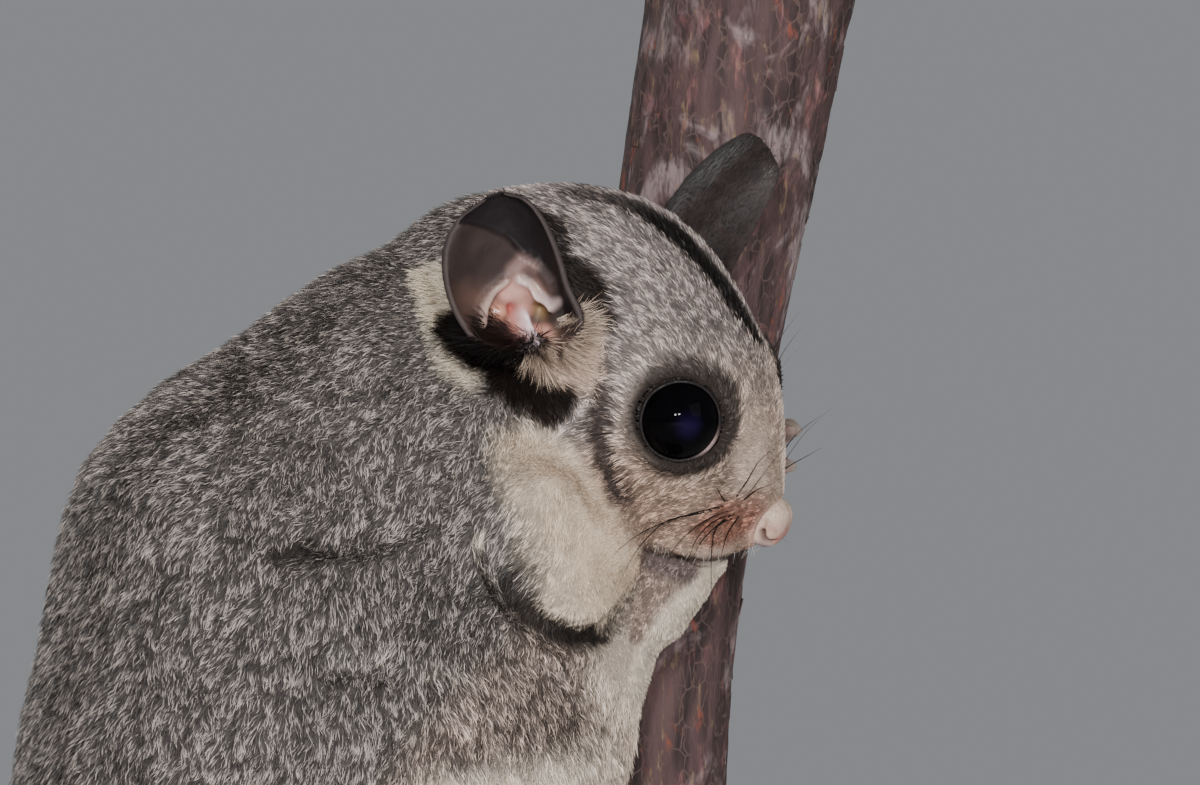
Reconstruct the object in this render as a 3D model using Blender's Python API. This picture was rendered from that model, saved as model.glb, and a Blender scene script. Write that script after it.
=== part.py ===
"""A life-size still model of a sugar glider that clings to a cut length of trunk on a display stand.

The figure is laid out in millimetres in a frame of its own: x runs to the right of someone who looks
at its right side, y away from them and z up. FIGURE_ORIGIN is the place of that frame above the middle
of the stand's underside. The head has a frame of its own too: x to the nose, y to its left and z to
the crown.
"""

import math
import random

import bpy
import bmesh
from mathutils import Matrix, Vector, noise

MM = 0.001
GAP = 0.3
FIGURE_ORIGIN = Vector((14.0, -14.0, 226.0))

# Stand

BASE_RADIUS = 66.0
BASE_THICKNESS = 12.0
BASE_EDGE = 2.0
# Where the middle of the base's rounded edge stands, as a share of BASE_EDGE
BASE_ROUNDING = 0.35
BASE_SIDES = 36
ROD_RADIUS = 3.0
ROD_SIDES = 16
ROD_SINK = 5.0

# Perch: height, centre x, centre y and radius of the cut trunk

PERCH_STATIONS = (
    (-120.0, 1.5, 29.0, 9.6),
    (-85.0, 2.6, 29.0, 9.3),
    (-55.0, 3.4, 29.0, 9.1),
    (-30.0, 4.6, 29.0, 9.1),
    (-8.0, 7.0, 29.0, 9.2),
    (12.0, 10.3, 29.0, 9.7),
    (30.0, 13.5, 29.2, 10.5),
    (50.0, 17.3, 29.6, 11.1),
)
PERCH_SIDES = 18
PERCH_RINGS = 9
PERCH_CLEARANCE = 0.6
BARK_RELIEF = 0.25
# How fast the bark's lumps change round the trunk and along it
BARK_GRAIN_ROUND = 1.6
BARK_GRAIN_ALONG = 0.06

# Head: x, top, bottom, half width and height of the widest line

HEAD_ORIGIN = Vector((1.4, 0.0, 4.2))
HEAD_YAW = math.radians(12.0)
HEAD_PITCH = math.radians(31.0)
HEAD_ROLL = math.radians(15.0)
HEAD_SIDES = 36
HEAD_RINGS = 24
# A head or torso ring is an ellipse where these are 1, and squarer below that: across it, then up it
HEAD_SQUARENESS = (0.92, 0.95)
TORSO_SQUARENESS = 0.95
HEAD_STATIONS = (
    (-18.0, 8.0, -3.0, 6.0, 2.0),
    (-15.5, 10.2, -8.0, 11.0, 0.5),
    (-11.0, 12.7, -12.5, 13.6, -0.8),
    (-5.0, 14.7, -15.5, 14.8, -2.5),
    (1.0, 14.4, -17.0, 14.8, -4.5),
    (6.0, 12.5, -17.0, 13.4, -5.0),
    (10.0, 10.4, -16.4, 11.0, -5.6),
    (13.5, 8.2, -15.6, 9.0, -6.0),
    (16.5, 5.4, -14.2, 7.0, -6.4),
    (19.0, 1.9, -12.9, 5.4, -7.0),
    (21.0, -2.0, -11.8, 3.9, -7.4),
    (22.4, -4.4, -10.2, 2.4, -7.6),
)
# Cheek, brow and whisker pad: centre and radii on the left side
HEAD_SWELLS = (
    ((2.0, 9.0, -13.4), (11.0, 6.8, 10.4)),
    ((10.0, 7.2, 0.9), (6.3, 5.0, 6.2)),
    ((17.2, 3.3, -8.6), (4.6, 3.2, 3.2)),
)
# How much narrower the head is at its underside
JAW_TAPER = 0.15
HEAD_REGION_SWELL = 1.8
HEAD_REGION_TRIANGLES = 700
# The coarser skin of the regions that divide the flesh
REGION_VOXEL = 1.6
REGION_EVENING = 4
NECK_CENTRE = (-9.0, 4.0, 4.6)
NECK_RADII = (16.0, 15.0, 16.2)
# Throat, from under the chin down to the chest, each point with a radius
THROAT = (((9.0, 0.0, -13.5), 4.6), ((-1.0, 5.5, -21.5), 8.4), ((-6.0, 9.0, -38.0), 9.0))

EYE_CENTRE = (10.3, 9.0, 0.9)
EYE_RADIUS = 4.6
EYE_AXIS = (0.42, 0.86, 0.28)
LID_THICKNESS = 0.6
LID_RISE = 1.9
LID_ALMOND = 0.5
LID_SIDES = 24
# Angles from where the eye looks, of the rings of the cup behind the lids' rim
LID_CUP = (135, 110, 92, 78)
# Width and further rise of the two rings of the rim
LID_RIM = ((1.0, 0.0), (0.93, 0.35))
# Radius and rise of the rings of the flared bowl that clears the eye
EYE_BOWL = ((4.4, 1.3), (6.2, 2.4), (12.0, 6.0))
EYE_BOWL_SIDES = 20

NOSE_CENTRE = (22.3, 0.0, -7.0)
NOSE_RADII = (2.0, 2.5, 2.1)
NOSTRIL_CENTRE = (23.1, 1.9, -7.9)
NOSTRIL_RADII = (1.2, 0.6, 0.5)

# The line between the lips, from the left corner to the middle of the lips
MOUTH_LINE = (
    (12.5, 9.4, -13.3),
    (15.4, 7.8, -12.9),
    (18.4, 5.6, -12.0),
    (20.4, 3.5, -11.1),
    (21.6, 1.8, -10.5),
    (22.0, 0.0, -10.2),
)
# The blade that cuts it: it spreads from a hub inside the head, and this much of its way is forward
MOUTH_HUB = 8.0
MOUTH_LEAST_FORWARD = 0.5
MOUTH_FORWARD = 0.6
MOUTH_RINGS = 21
MOUTH_DEPTH = 2.0
MOUTH_OUTSIDE = 2.5
MOUTH_WIDTH = 0.45

# Ears: base, direction to the tip, direction in which the cup opens, and how wide it is unfolded
EARS = {
    "ear_right": ((-5.6, -12.4, 4.0), (-0.25, -0.42, 0.87), (0.2, -0.85, -0.45), 1.0),
    "ear_left": ((4.6, 11.2, 12.2), (0.66, -0.12, 0.73), (0.74, 0.57, -0.45), 0.85),
}
# Width of an ear's front half and of its rear half at its root, and then from a third of its length up
EAR_HALVES = {
    "ear_right": ((0.8, 0.62), (0.4, 1.06)),
    "ear_left": ((0.95, 0.9), (0.6, 1.3)),
}
EAR_SPREAD = 0.33
EAR_LENGTH = 17.8
EAR_THICKNESS = 0.75
EAR_COLUMNS = 8
EAR_STEPS = (0.0, 0.14, 0.28, 0.42, 0.56, 0.70, 0.82, 0.91, 0.97, 1.0)
# Half width, wrap in degrees and forward lean along the ear, from root to tip
EAR_SHAPE = (
    (3.2, 140.0, -0.6),
    (4.9, 118.0, -1.1),
    (6.4, 92.0, -1.4),
    (7.1, 75.0, -1.5),
    (6.9, 64.0, -1.3),
    (6.0, 56.0, -0.9),
    (4.4, 50.0, -0.4),
    (1.4, 40.0, 0.0),
)

# Torso rings: point on the back, point on the belly and half width

TORSO_RINGS = (
    ((-15.5, 6.5, 17.2), (2.0, 9.0, -4.0), 13.5),
    ((-26.5, -1.0, 12.4), (1.0, 11.5, -13.0), 19.0),
    ((-34.6, -6.0, 4.8), (0.5, 14.0, -20.0), 22.5),
    ((-42.8, -10.5, -1.4), (-1.0, 17.0, -27.0), 24.5),
    ((-48.7, -14.0, -9.6), (-3.5, 19.0, -34.0), 26.0),
    ((-50.2, -15.5, -23.0), (-6.0, 20.5, -42.0), 27.0),
    ((-53.5, -15.0, -39.5), (-8.0, 21.0, -50.0), 27.0),
    ((-53.8, -13.5, -55.0), (-10.0, 20.0, -60.0), 25.0),
    ((-47.0, -10.0, -70.0), (-13.0, 18.5, -69.0), 21.5),
    ((-38.0, -4.5, -81.0), (-17.0, 15.0, -77.0), 15.0),
    ((-30.0, 2.0, -88.0), (-21.0, 11.0, -84.0), 8.0),
)
TORSO_SIDES = 32
TORSO_RING_COUNT = 22

# Limbs: joints from the body outwards, each with the flesh's radius there

LIMBS = {
    "arm_right": (((-13.0, -9.0, -12.0), 10.5), ((-24.0, -12.0, -30.0), 8.5), ((-4.6, 10.6, -46.6), 3.5)),
    "arm_left": (((-14.0, 18.0, -10.0), 10.0), ((-16.0, 33.0, -26.0), 7.5), ((-0.5, 42.5, -13.5), 3.5)),
    "leg_right": (((-27.0, -9.0, -68.0), 13.0), ((-12.0, -16.0, -56.0), 10.0), ((-9.5, 7.6, -85.0), 3.8)),
    "leg_left": (((-34.0, 17.0, -66.0), 12.0), ((-24.0, 32.0, -54.0), 9.5), ((-16.5, 36.5, -85.0), 3.8)),
}
# The two rings of a limb's rounded end: how far each stands out and how wide it is, in the end's radii
LIMB_END = ((0.55, 0.84), (0.9, 0.44))
LIMB_REGION_SWELL = 2.2
LIMB_REGION_TRIANGLES = 260

# Paws: palm, end of the stub in the limb, palm radii, then each digit's tip, radius and claw.
# Palm and tips are angle round the perch, height and distance off the bark.

CLAW_TIP_OFF = 0.6
# Shares of a digit's way from the palm, with how much further off the bark it stands there
DIGIT_ARCH = ((0.0, 0.0), (0.4, 1.0), (0.75, 0.5), (1.0, 0.0))
# Its radii along that way and at its tip, in its own radius
DIGIT_WIDTHS = (1.15, 1.05, 0.9, 1.0, 0.5)
DIGIT_PAD = 0.8
CLAW_RADII = (0.6, 0.45, 0.14)
# Where a digit leaves the palm, as a share of the way to its tip, and the radii of the stub in the limb
KNUCKLE = 0.25
STUB_RADII = (2.5, 1.6)
PAWS = {
    "hand_right": (
        (-100.0, -50.5, 3.4),
        (-3.4, 12.4, -47.4),
        (3.6, 2.2, 4.0),
        (
            ((-64.0, -42.5, 2.0), 1.05, 0.3),
            ((-42.0, -46.5, 2.0), 1.1, 0.24),
            ((-36.0, -51.0, 2.0), 1.1, 0.24),
            ((-43.0, -56.0, 2.0), 1.1, 0.25),
            ((-74.0, -60.0, 2.0), 1.0, 0.35),
        ),
    ),
    "hand_left": (
        (88.0, -9.0, 3.4),
        (0.4, 42.2, -12.8),
        (3.6, 2.2, 4.0),
        (
            ((40.0, 1.0, 2.2), 1.05, 0.3),
            ((10.0, -3.5, 2.8), 1.1, 0.18),
            ((7.0, -7.5, 2.8), 1.1, 0.18),
            ((22.0, -12.5, 2.2), 1.1, 0.25),
            ((56.0, -18.0, 2.2), 1.0, 0.35),
        ),
    ),
    "foot_right": (
        (-128.0, -81.0, 4.0),
        (-9.0, 9.4, -85.0),
        (3.4, 2.4, 5.5),
        (
            ((-150.0, -68.0, 2.1), 1.3, 0.0),
            ((-100.0, -66.5, 2.0), 1.05, 0.3),
            ((-84.0, -68.0, 2.0), 1.05, 0.3),
            ((-68.0, -72.5, 2.0), 1.15, 0.28),
            ((-66.0, -79.5, 2.0), 1.15, 0.28),
        ),
    ),
    "foot_left": (
        (158.0, -81.0, 4.0),
        (-16.0, 36.2, -84.6),
        (3.4, 2.4, 5.5),
        (
            ((180.0, -68.0, 2.1), 1.3, 0.0),
            ((130.0, -66.5, 2.0), 1.05, 0.3),
            ((114.0, -68.0, 2.0), 1.05, 0.3),
            ((98.0, -72.5, 2.0), 1.15, 0.28),
            ((96.0, -79.5, 2.0), 1.15, 0.28),
        ),
    ),
}

# Gliding membrane: a route from wrist to ankle, and the direction in which the fold stands out

MEMBRANES = {
    "membrane_right": (
        (
            (-7.0, 1.0, -48.0),
            (-10.0, -13.0, -50.0),
            (-20.0, -21.0, -56.0),
            (-17.0, -24.0, -66.0),
            (-10.0, -8.0, -78.0),
        ),
        (0.64, -0.77, 0.0),
    ),
    "membrane_left": (
        (
            (-8.0, 36.0, -30.0),
            (-22.0, 34.0, -38.0),
            (-36.0, 31.0, -50.0),
            (-38.0, 28.0, -62.0),
            (-24.0, 30.0, -74.0),
        ),
        (-0.64, 0.77, 0.0),
    ),
}
MEMBRANE_RINGS = 16
MEMBRANE_SIDES = 8
MEMBRANE_REACH = 4.6
# Its reach at the ends, as a share of that in the middle
MEMBRANE_ENDS = 0.45
MEMBRANE_FLATNESS = 0.34
MEMBRANE_WAVES = 3.0
MEMBRANE_WAVE = 1.3

# Tail: centre and radius out to the tips of its hair

TAIL_STATIONS = (
    (-26.0, 7.0, -84.0, 8.0),
    (-24.5, 9.0, -98.0, 8.6),
    (-23.0, 10.0, -114.0, 9.8),
    (-21.5, 9.5, -130.0, 10.8),
    (-20.5, 7.0, -146.0, 11.2),
    (-20.5, 2.0, -162.0, 10.8),
    (-23.0, -6.0, -177.0, 10.0),
    (-31.0, -15.0, -188.0, 9.2),
    (-43.0, -22.0, -190.0, 8.2),
    (-54.0, -26.0, -183.0, 6.0),
    (-60.0, -28.0, -175.0, 3.0),
)
TAIL_WIDEST = 11.2
TAIL_SAMPLES = 65
# How far the core reaches of the way to the tips of the hair, and where it ends along the tail
TAIL_CORE = 0.45
TAIL_CORE_END = 0.9
TAIL_CORE_RINGS = 6
TAIL_SIDES = 10

# Locks of the tail: for each of its lengths the rows along it and the locks in a row
TAIL_LENGTHS = ((3, 5), (3, 6), (3, 6), (3, 5))
LOCK_LENGTH = 22.0
LOCK_WIDTH = 6.8
LOCK_THICKNESS = 1.6
LOCK_SINK = 1.6
# Width along a lock from root to tip
LOCK_TAPER = (0.4, 0.85, 0.9, 0.08)
# How soon a lock rises from the core, and how unevenly the locks are set, in places, turn and size
LOCK_RISE = 1.6
LOCK_JITTER = 0.12
LOCK_DRIFT = 0.3
LOCK_SIZES = (0.86, 1.0)
LOCK_FIRST_ROW = 0.3
LOCK_SEED = 11

# Skin and cuts

VOXEL = 1.1
EVENING = 7
FLESH_TRIANGLES = 3900
# Share of a cut node's triangles that is kept, without the slivers along its cuts
CUT_SHARE = 0.7
# Edges shorter than this are closed up
SLIVER = 0.004
NECK_PLANE = ((-17.0, 4.0, 5.0), (0.35, -0.1, 0.93))
SLAB_REACH = 200.0


# Places and frames


def at(point):
    """A point of the figure's frame as metres from the centre of the stand's foot."""
    return (Vector(point) + FIGURE_ORIGIN) * MM


def head_axes():
    """Forward, left and up of the head, as columns."""
    yaw = Matrix.Rotation(-HEAD_YAW, 3, "Z")
    pitch = Matrix.Rotation(HEAD_PITCH, 3, "Y")
    roll = Matrix.Rotation(HEAD_ROLL, 3, "X")
    return yaw @ pitch @ roll


HEAD_AXES = head_axes()


def on_head(x, y, z):
    """A point of the head's own frame, in the figure's frame."""
    return HEAD_ORIGIN + HEAD_AXES @ Vector((x, y, z))


def smooth_values(rows, count):
    """Rows of numbers read from a smooth curve through them, at an even count of places."""
    padded = [rows[0], *rows, rows[-1]]
    out = []
    for i in range(count):
        t = i * (len(rows) - 1) / (count - 1)
        k = min(int(t), len(rows) - 2)
        s = t - k
        row = []
        for p, q, r, w in zip(*padded[k : k + 4]):
            bend = (2 * p - 5 * q + 4 * r - w) * s * s + (3 * q - p - 3 * r + w) * s**3
            row.append(0.5 * (2 * q + (r - p) * s + bend))
        out.append(row)
    return out


def smooth_path(points, count):
    return [Vector(p) for p in smooth_values([tuple(p) for p in points], count)]


def signed_power(value, exponent):
    return math.copysign(abs(value) ** exponent, value)


def turns(count):
    return [2 * math.pi * k / count for k in range(count)]


# Meshes


def material(name, colour, roughness=0.8, metallic=0.0):
    made = bpy.data.materials.new(name)
    made.use_nodes = True
    shader = made.node_tree.nodes["Principled BSDF"]
    shader.inputs["Base Color"].default_value = (*colour, 1.0)
    shader.inputs["Roughness"].default_value = roughness
    shader.inputs["Metallic"].default_value = metallic
    return made


def object_from(name, bm, finish=None):
    """An object from a bmesh laid out in the figure's frame."""
    bmesh.ops.recalc_face_normals(bm, faces=bm.faces)
    if bm.calc_volume(signed=True) < 0:
        bmesh.ops.reverse_faces(bm, faces=bm.faces)
    for v in bm.verts:
        v.co = at(v.co)
    mesh = bpy.data.meshes.new(name)
    bm.to_mesh(mesh)
    bm.free()
    obj = bpy.data.objects.new(name, mesh)
    bpy.context.scene.collection.objects.link(obj)
    if finish:
        mesh.materials.append(finish)
    return obj


def loft_into(bm, rings):
    """A closed skin over rings of points, each end closed by a fan."""
    loops = [[bm.verts.new(p) for p in ring] for ring in rings]
    for a, b in zip(loops, loops[1:]):
        for i in range(len(a)):
            j = (i + 1) % len(a)
            bm.faces.new((a[i], a[j], b[j], b[i]))
    for loop in (loops[0], loops[-1]):
        pole = bm.verts.new(sum((v.co for v in loop), Vector()) / len(loop))
        for i in range(len(loop)):
            bm.faces.new((loop[i], loop[(i + 1) % len(loop)], pole))


def sheet_into(bm, rows, thickness):
    """A closed sheet over a grid of points, split into triangles alike on both faces."""
    last_row, last_column = len(rows) - 1, len(rows[0]) - 1
    faces = {1: [], -1: []}
    for i, row in enumerate(rows):
        for side in faces:
            faces[side].append([])
        for j, point in enumerate(row):
            along = rows[min(i + 1, last_row)][j] - rows[max(i - 1, 0)][j]
            across = row[min(j + 1, last_column)] - row[max(j - 1, 0)]
            normal = along.cross(across).normalized() * thickness / 2
            for side in faces:
                faces[side][i].append(bm.verts.new(point + normal * side))
    for grid in faces.values():
        for i in range(last_row):
            for j in range(last_column):
                a, b, c, d = grid[i][j], grid[i][j + 1], grid[i + 1][j + 1], grid[i + 1][j]
                bm.faces.new((a, b, c))
                bm.faces.new((a, c, d))
    rim = [(0, j) for j in range(last_column)] + [(i, last_column) for i in range(last_row)]
    rim += [(last_row, j) for j in range(last_column, 0, -1)] + [(i, 0) for i in range(last_row, 0, -1)]
    for (i, j), (k, m) in zip(rim, rim[1:] + rim[:1]):
        a, b, c, d = faces[1][i][j], faces[1][k][m], faces[-1][k][m], faces[-1][i][j]
        bm.faces.new((a, b, c))
        bm.faces.new((a, c, d))


def ring_axes(path, start):
    """Two axes across a path at each of its points, carried along it without a twist."""
    last = len(path) - 1
    side = Vector(start)
    out = []
    for i in range(len(path)):
        along = (path[min(i + 1, last)] - path[max(i - 1, 0)]).normalized()
        side = (side - along * side.dot(along)).normalized()
        out.append((side, along.cross(side)))
    return out


def tube_into(bm, path, radii, sides, start=(0, 0, 1), flat=1.0):
    """A tube along a path, thinner by the factor flat across its start direction."""
    rings = []
    for point, radius, (wide, thin) in zip(path, radii, ring_axes(path, start)):
        ring = []
        for a in turns(sides):
            ring.append(point + wide * (radius * math.cos(a)) + thin * (radius * flat * math.sin(a)))
        rings.append(ring)
    loft_into(bm, rings)


def ball_into(bm, centre, radii, axes=Matrix.Identity(3), rings=8, sides=12):
    made = bmesh.ops.create_uvsphere(bm, u_segments=sides, v_segments=rings, radius=1.0)
    for v in made["verts"]:
        v.co = Vector(centre) + axes @ Vector(a * r for a, r in zip(v.co, radii))


def limb_into(bm, joints, swell=0.0, count=9, sides=14):
    """A rounded limb through joints, each a point with a radius."""
    rows = smooth_values([(*p, r + swell) for p, r in joints], count)
    path = [Vector(r[:3]) for r in rows]
    radii = [r[3] for r in rows]
    start, end = path[0], path[-1]
    first_radius, last_radius = radii[0], radii[-1]
    first = (start - path[1]).normalized() * first_radius
    last = (end - path[-2]).normalized() * last_radius
    for reach, width in LIMB_END:
        path = [start + first * reach, *path, end + last * reach]
        radii = [first_radius * width, *radii, last_radius * width]
    tube_into(bm, path, radii, sides)


def apply_modifiers(obj):
    graph = bpy.context.evaluated_depsgraph_get()
    mesh = bpy.data.meshes.new_from_object(obj.evaluated_get(graph))
    obj.modifiers.clear()
    obj.data = mesh
    return obj


def boolean(obj, other, operation):
    """An applied Boolean. The meshes are closed, and MANIFOLD is quick and sure on such skins."""
    cut = obj.modifiers.new("cut", "BOOLEAN")
    cut.operation = operation
    cut.solver = "MANIFOLD"
    cut.object = other
    return apply_modifiers(obj)


def remove(*objects):
    for obj in objects:
        bpy.data.objects.remove(obj)


def union_of(name, pieces, finish=None, solver="EXACT"):
    """One body from closed pieces, by one Boolean on their collection."""
    base, rest = pieces[0], pieces[1:]
    group = bpy.data.collections.new(name)
    bpy.context.scene.collection.children.link(group)
    for piece in rest:
        bpy.context.scene.collection.objects.unlink(piece)
        group.objects.link(piece)
    join = base.modifiers.new("join", "BOOLEAN")
    join.operation = "UNION"
    join.solver = solver
    join.operand_type = "COLLECTION"
    join.collection = group
    apply_modifiers(base)
    remove(*rest)
    bpy.data.collections.remove(group)
    base.name = name
    base.data.materials.clear()
    if finish:
        base.data.materials.append(finish)
    return keep_largest(base)


def copy_of(obj, name):
    made = obj.copy()
    made.data = obj.data.copy()
    made.name = name
    bpy.context.scene.collection.objects.link(made)
    return made


def grown(obj, name, by):
    """A copy whose skin stands out by a distance."""
    made = copy_of(obj, name)
    swell = made.modifiers.new("swell", "DISPLACE")
    swell.strength = by * MM
    swell.mid_level = 0.0
    return apply_modifiers(made)


def shell_of(seed, todo):
    """The points joined to one point, taken out of those still to sort."""
    todo.discard(seed)
    shell, edge = [seed], [seed]
    while edge:
        for link in edge.pop().link_edges:
            for v in link.verts:
                if v in todo:
                    todo.discard(v)
                    shell.append(v)
                    edge.append(v)
    return shell


def spread_of(shell):
    return sum(max(v.co[i] for v in shell) - min(v.co[i] for v in shell) for i in range(3))


def in_triangles(bm):
    """The same skin in triangles, with two faces at each edge and no points that only lie along one."""
    bmesh.ops.dissolve_verts(bm, verts=[v for v in bm.verts if len(v.link_edges) == 2])
    for method in ("BEAUTY", "EAR_CLIP"):
        split = bm.copy()
        bmesh.ops.triangulate(split, faces=[f for f in split.faces if len(f.verts) > 3], ngon_method=method)
        if all(e.is_manifold for e in split.edges):
            break
    return split


def keep_largest(obj):
    """Drops every closed surface but the largest."""
    bm = bmesh.new()
    bm.from_mesh(obj.data)
    todo = set(bm.verts)
    shells = []
    while todo:
        shells.append(shell_of(next(iter(todo)), todo))
    shells.sort(key=spread_of)
    for shell in shells[:-1]:
        bmesh.ops.delete(bm, geom=shell, context="VERTS")
    split = in_triangles(bm)
    bmesh.ops.dissolve_degenerate(split, edges=split.edges, dist=SLIVER * MM)
    split.to_mesh(obj.data)
    split.free()
    bm.free()
    return obj


def finish_node(obj, finish, sharp=40.0):
    obj.data.materials.clear()
    obj.data.materials.append(finish)
    obj.data.shade_smooth()
    obj.data.set_sharp_from_angle(angle=math.radians(sharp))
    return obj


def part_off(flesh, name, region, wider, finish, share=1.0):
    """The flesh inside a region becomes a node, a thin cut away from the rest."""
    node = copy_of(flesh, name)
    boolean(node, region, "INTERSECT")
    keep_largest(thinned(node, share=share))
    finish_node(node, finish)
    boolean(flesh, wider, "DIFFERENCE")
    keep_largest(flesh)
    remove(region, wider)
    return node


# Perch and stand


def perch_at(z):
    """Centre and radius of the perch at a height."""
    rows = PERCH_STATIONS
    z = min(max(z, rows[0][0]), rows[-1][0])
    k = max(i for i in range(len(rows) - 1) if rows[i][0] <= z)
    low, high = rows[k], rows[k + 1]
    s = (z - low[0]) / (high[0] - low[0])
    x, y, radius = (a + (b - a) * s for a, b in zip(low[1:], high[1:]))
    return Vector((x, y, z)), radius


def on_perch(degrees, z, off):
    """A point off the bark. Its angle is 0 towards x and 90 away from the viewer."""
    centre, radius = perch_at(z)
    a = math.radians(degrees)
    return centre + Vector((math.cos(a), math.sin(a), 0)) * (radius + off)


def make_perch(name, extra):
    low, high = PERCH_STATIONS[0][0] - extra, PERCH_STATIONS[-1][0] + extra
    rings = []
    for k in range(PERCH_RINGS):
        z = low + (high - low) * k / (PERCH_RINGS - 1)
        centre, radius = perch_at(z)
        ring = []
        for a in turns(PERCH_SIDES):
            out = Vector((math.cos(a), math.sin(a), 0))
            spot = out * BARK_GRAIN_ROUND + Vector((0, 0, z * BARK_GRAIN_ALONG))
            rough = BARK_RELIEF * noise.noise(spot)
            ring.append(Vector((centre.x, centre.y, z)) + out * (radius + extra + rough))
        rings.append(ring)
    bm = bmesh.new()
    loft_into(bm, rings)
    return object_from(name, bm)


def make_base(name):
    floor = -FIGURE_ORIGIN.z
    outline = (
        (BASE_RADIUS, 0.0),
        (BASE_RADIUS, BASE_THICKNESS - BASE_EDGE),
        (BASE_RADIUS - BASE_EDGE * BASE_ROUNDING, BASE_THICKNESS - BASE_EDGE * BASE_ROUNDING),
        (BASE_RADIUS - BASE_EDGE, BASE_THICKNESS),
    )
    bm = bmesh.new()
    rings = []
    for radius, height in outline:
        centre = Vector((-FIGURE_ORIGIN.x, -FIGURE_ORIGIN.y, floor + height))
        flat = [Vector((math.cos(a), math.sin(a), 0)) for a in turns(BASE_SIDES)]
        rings.append([centre + out * radius for out in flat])
    loft_into(bm, rings)
    return object_from(name, bm)


def make_rod(name, extra):
    """The rod from the base up into the foot of the perch."""
    foot, _ = perch_at(PERCH_STATIONS[0][0])
    low = BASE_THICKNESS - ROD_SINK - FIGURE_ORIGIN.z - extra
    high = foot.z + ROD_SINK + extra
    bm = bmesh.new()
    path = [Vector((foot.x, foot.y, low)), Vector((foot.x, foot.y, high))]
    tube_into(bm, path, (ROD_RADIUS + extra, ROD_RADIUS + extra), ROD_SIDES, start=(1, 0, 0))
    return object_from(name, bm)


# Flesh


def head_rings(swell):
    rings = []
    for x, top, bottom, half, middle in smooth_values(HEAD_STATIONS, HEAD_RINGS):
        ring = []
        for a in turns(HEAD_SIDES):
            rise = (top - middle) if math.sin(a) > 0 else (middle - bottom)
            z = middle + (rise + swell) * signed_power(math.sin(a), HEAD_SQUARENESS[1])
            narrowing = 1 - JAW_TAPER * max(0.0, -math.sin(a))
            y = (half + swell) * narrowing * signed_power(math.cos(a), HEAD_SQUARENESS[0])
            ring.append(on_head(x * (1 + swell / NOSE_CENTRE[0]), y, z))
        rings.append(ring)
    return rings


def head_into(bm, swell=0.0):
    loft_into(bm, head_rings(swell))
    for side in (-1, 1):
        for (x, y, z), radii in HEAD_SWELLS:
            wide = [r + swell for r in radii]
            ball_into(bm, on_head(x, y * side, z), wide, HEAD_AXES, rings=12, sides=18)


def torso_rings():
    rows = smooth_values([(*back, *belly, half) for back, belly, half in TORSO_RINGS], TORSO_RING_COUNT)
    backs = [Vector(r[:3]) for r in rows]
    centres = [(Vector(r[:3]) + Vector(r[3:6])) / 2 for r in rows]
    rings = []
    for i, row in enumerate(rows):
        depth = backs[i] - centres[i]
        along = centres[min(i + 1, len(rows) - 1)] - centres[max(i - 1, 0)]
        side = along.cross(depth).normalized() * row[6]
        ring = []
        for a in turns(TORSO_SIDES):
            deep = signed_power(math.cos(a), TORSO_SQUARENESS)
            wide = signed_power(math.sin(a), TORSO_SQUARENESS)
            ring.append(centres[i] + depth * deep + side * wide)
        rings.append(ring)
    return rings


def melted(name, bm, voxel, evening):
    """Overlapping forms melted into one smooth skin."""
    obj = object_from(name, bm)
    shell = obj.modifiers.new("shell", "REMESH")
    shell.mode = "VOXEL"
    shell.voxel_size = voxel * MM
    even = obj.modifiers.new("even", "SMOOTH")
    even.factor = 0.5
    even.iterations = evening
    return apply_modifiers(obj)


def thinned(obj, triangles=None, share=1.0):
    """The same skin in about so many triangles, or that share of them, more where it bends."""
    obj.data.calc_loop_triangles()
    thin = obj.modifiers.new("thin", "DECIMATE")
    thin.ratio = triangles / len(obj.data.loop_triangles) if triangles else share
    return apply_modifiers(obj)


def make_flesh():
    bm = bmesh.new()
    head_into(bm)
    loft_into(bm, torso_rings())
    ball_into(bm, NECK_CENTRE, NECK_RADII, rings=12, sides=18)
    limb_into(bm, THROAT)
    for joints in LIMBS.values():
        limb_into(bm, joints)
    return thinned(melted("flesh", bm, VOXEL, EVENING), FLESH_TRIANGLES)


# Head


def head_region(name):
    bm = bmesh.new()
    head_into(bm, HEAD_REGION_SWELL)
    return thinned(melted(name, bm, REGION_VOXEL, REGION_EVENING), HEAD_REGION_TRIANGLES)


def eye_frame(side):
    """Across, up and outward axes of an eye, as columns, and its centre."""
    out = (HEAD_AXES @ Vector((EYE_AXIS[0], EYE_AXIS[1] * side, EYE_AXIS[2]))).normalized()
    across = (HEAD_AXES.col[2].cross(out)).normalized()
    axes = Matrix((across, out.cross(across), out)).transposed()
    return axes, on_head(EYE_CENTRE[0], EYE_CENTRE[1] * side, EYE_CENTRE[2])


def make_eyeball(name, side, extra):
    axes, centre = eye_frame(side)
    bm = bmesh.new()
    radius = EYE_RADIUS + extra
    ball_into(bm, centre, (radius, radius, radius), axes, rings=8, sides=14)
    return object_from(name, bm)


def eye_ring(axes, centre, radius, rise, sides):
    """Points round the line in which an eye looks."""
    ring = []
    for a in turns(sides):
        ring.append(centre + axes @ Vector((math.cos(a) * radius, math.sin(a) * radius, rise)))
    return ring


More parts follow.
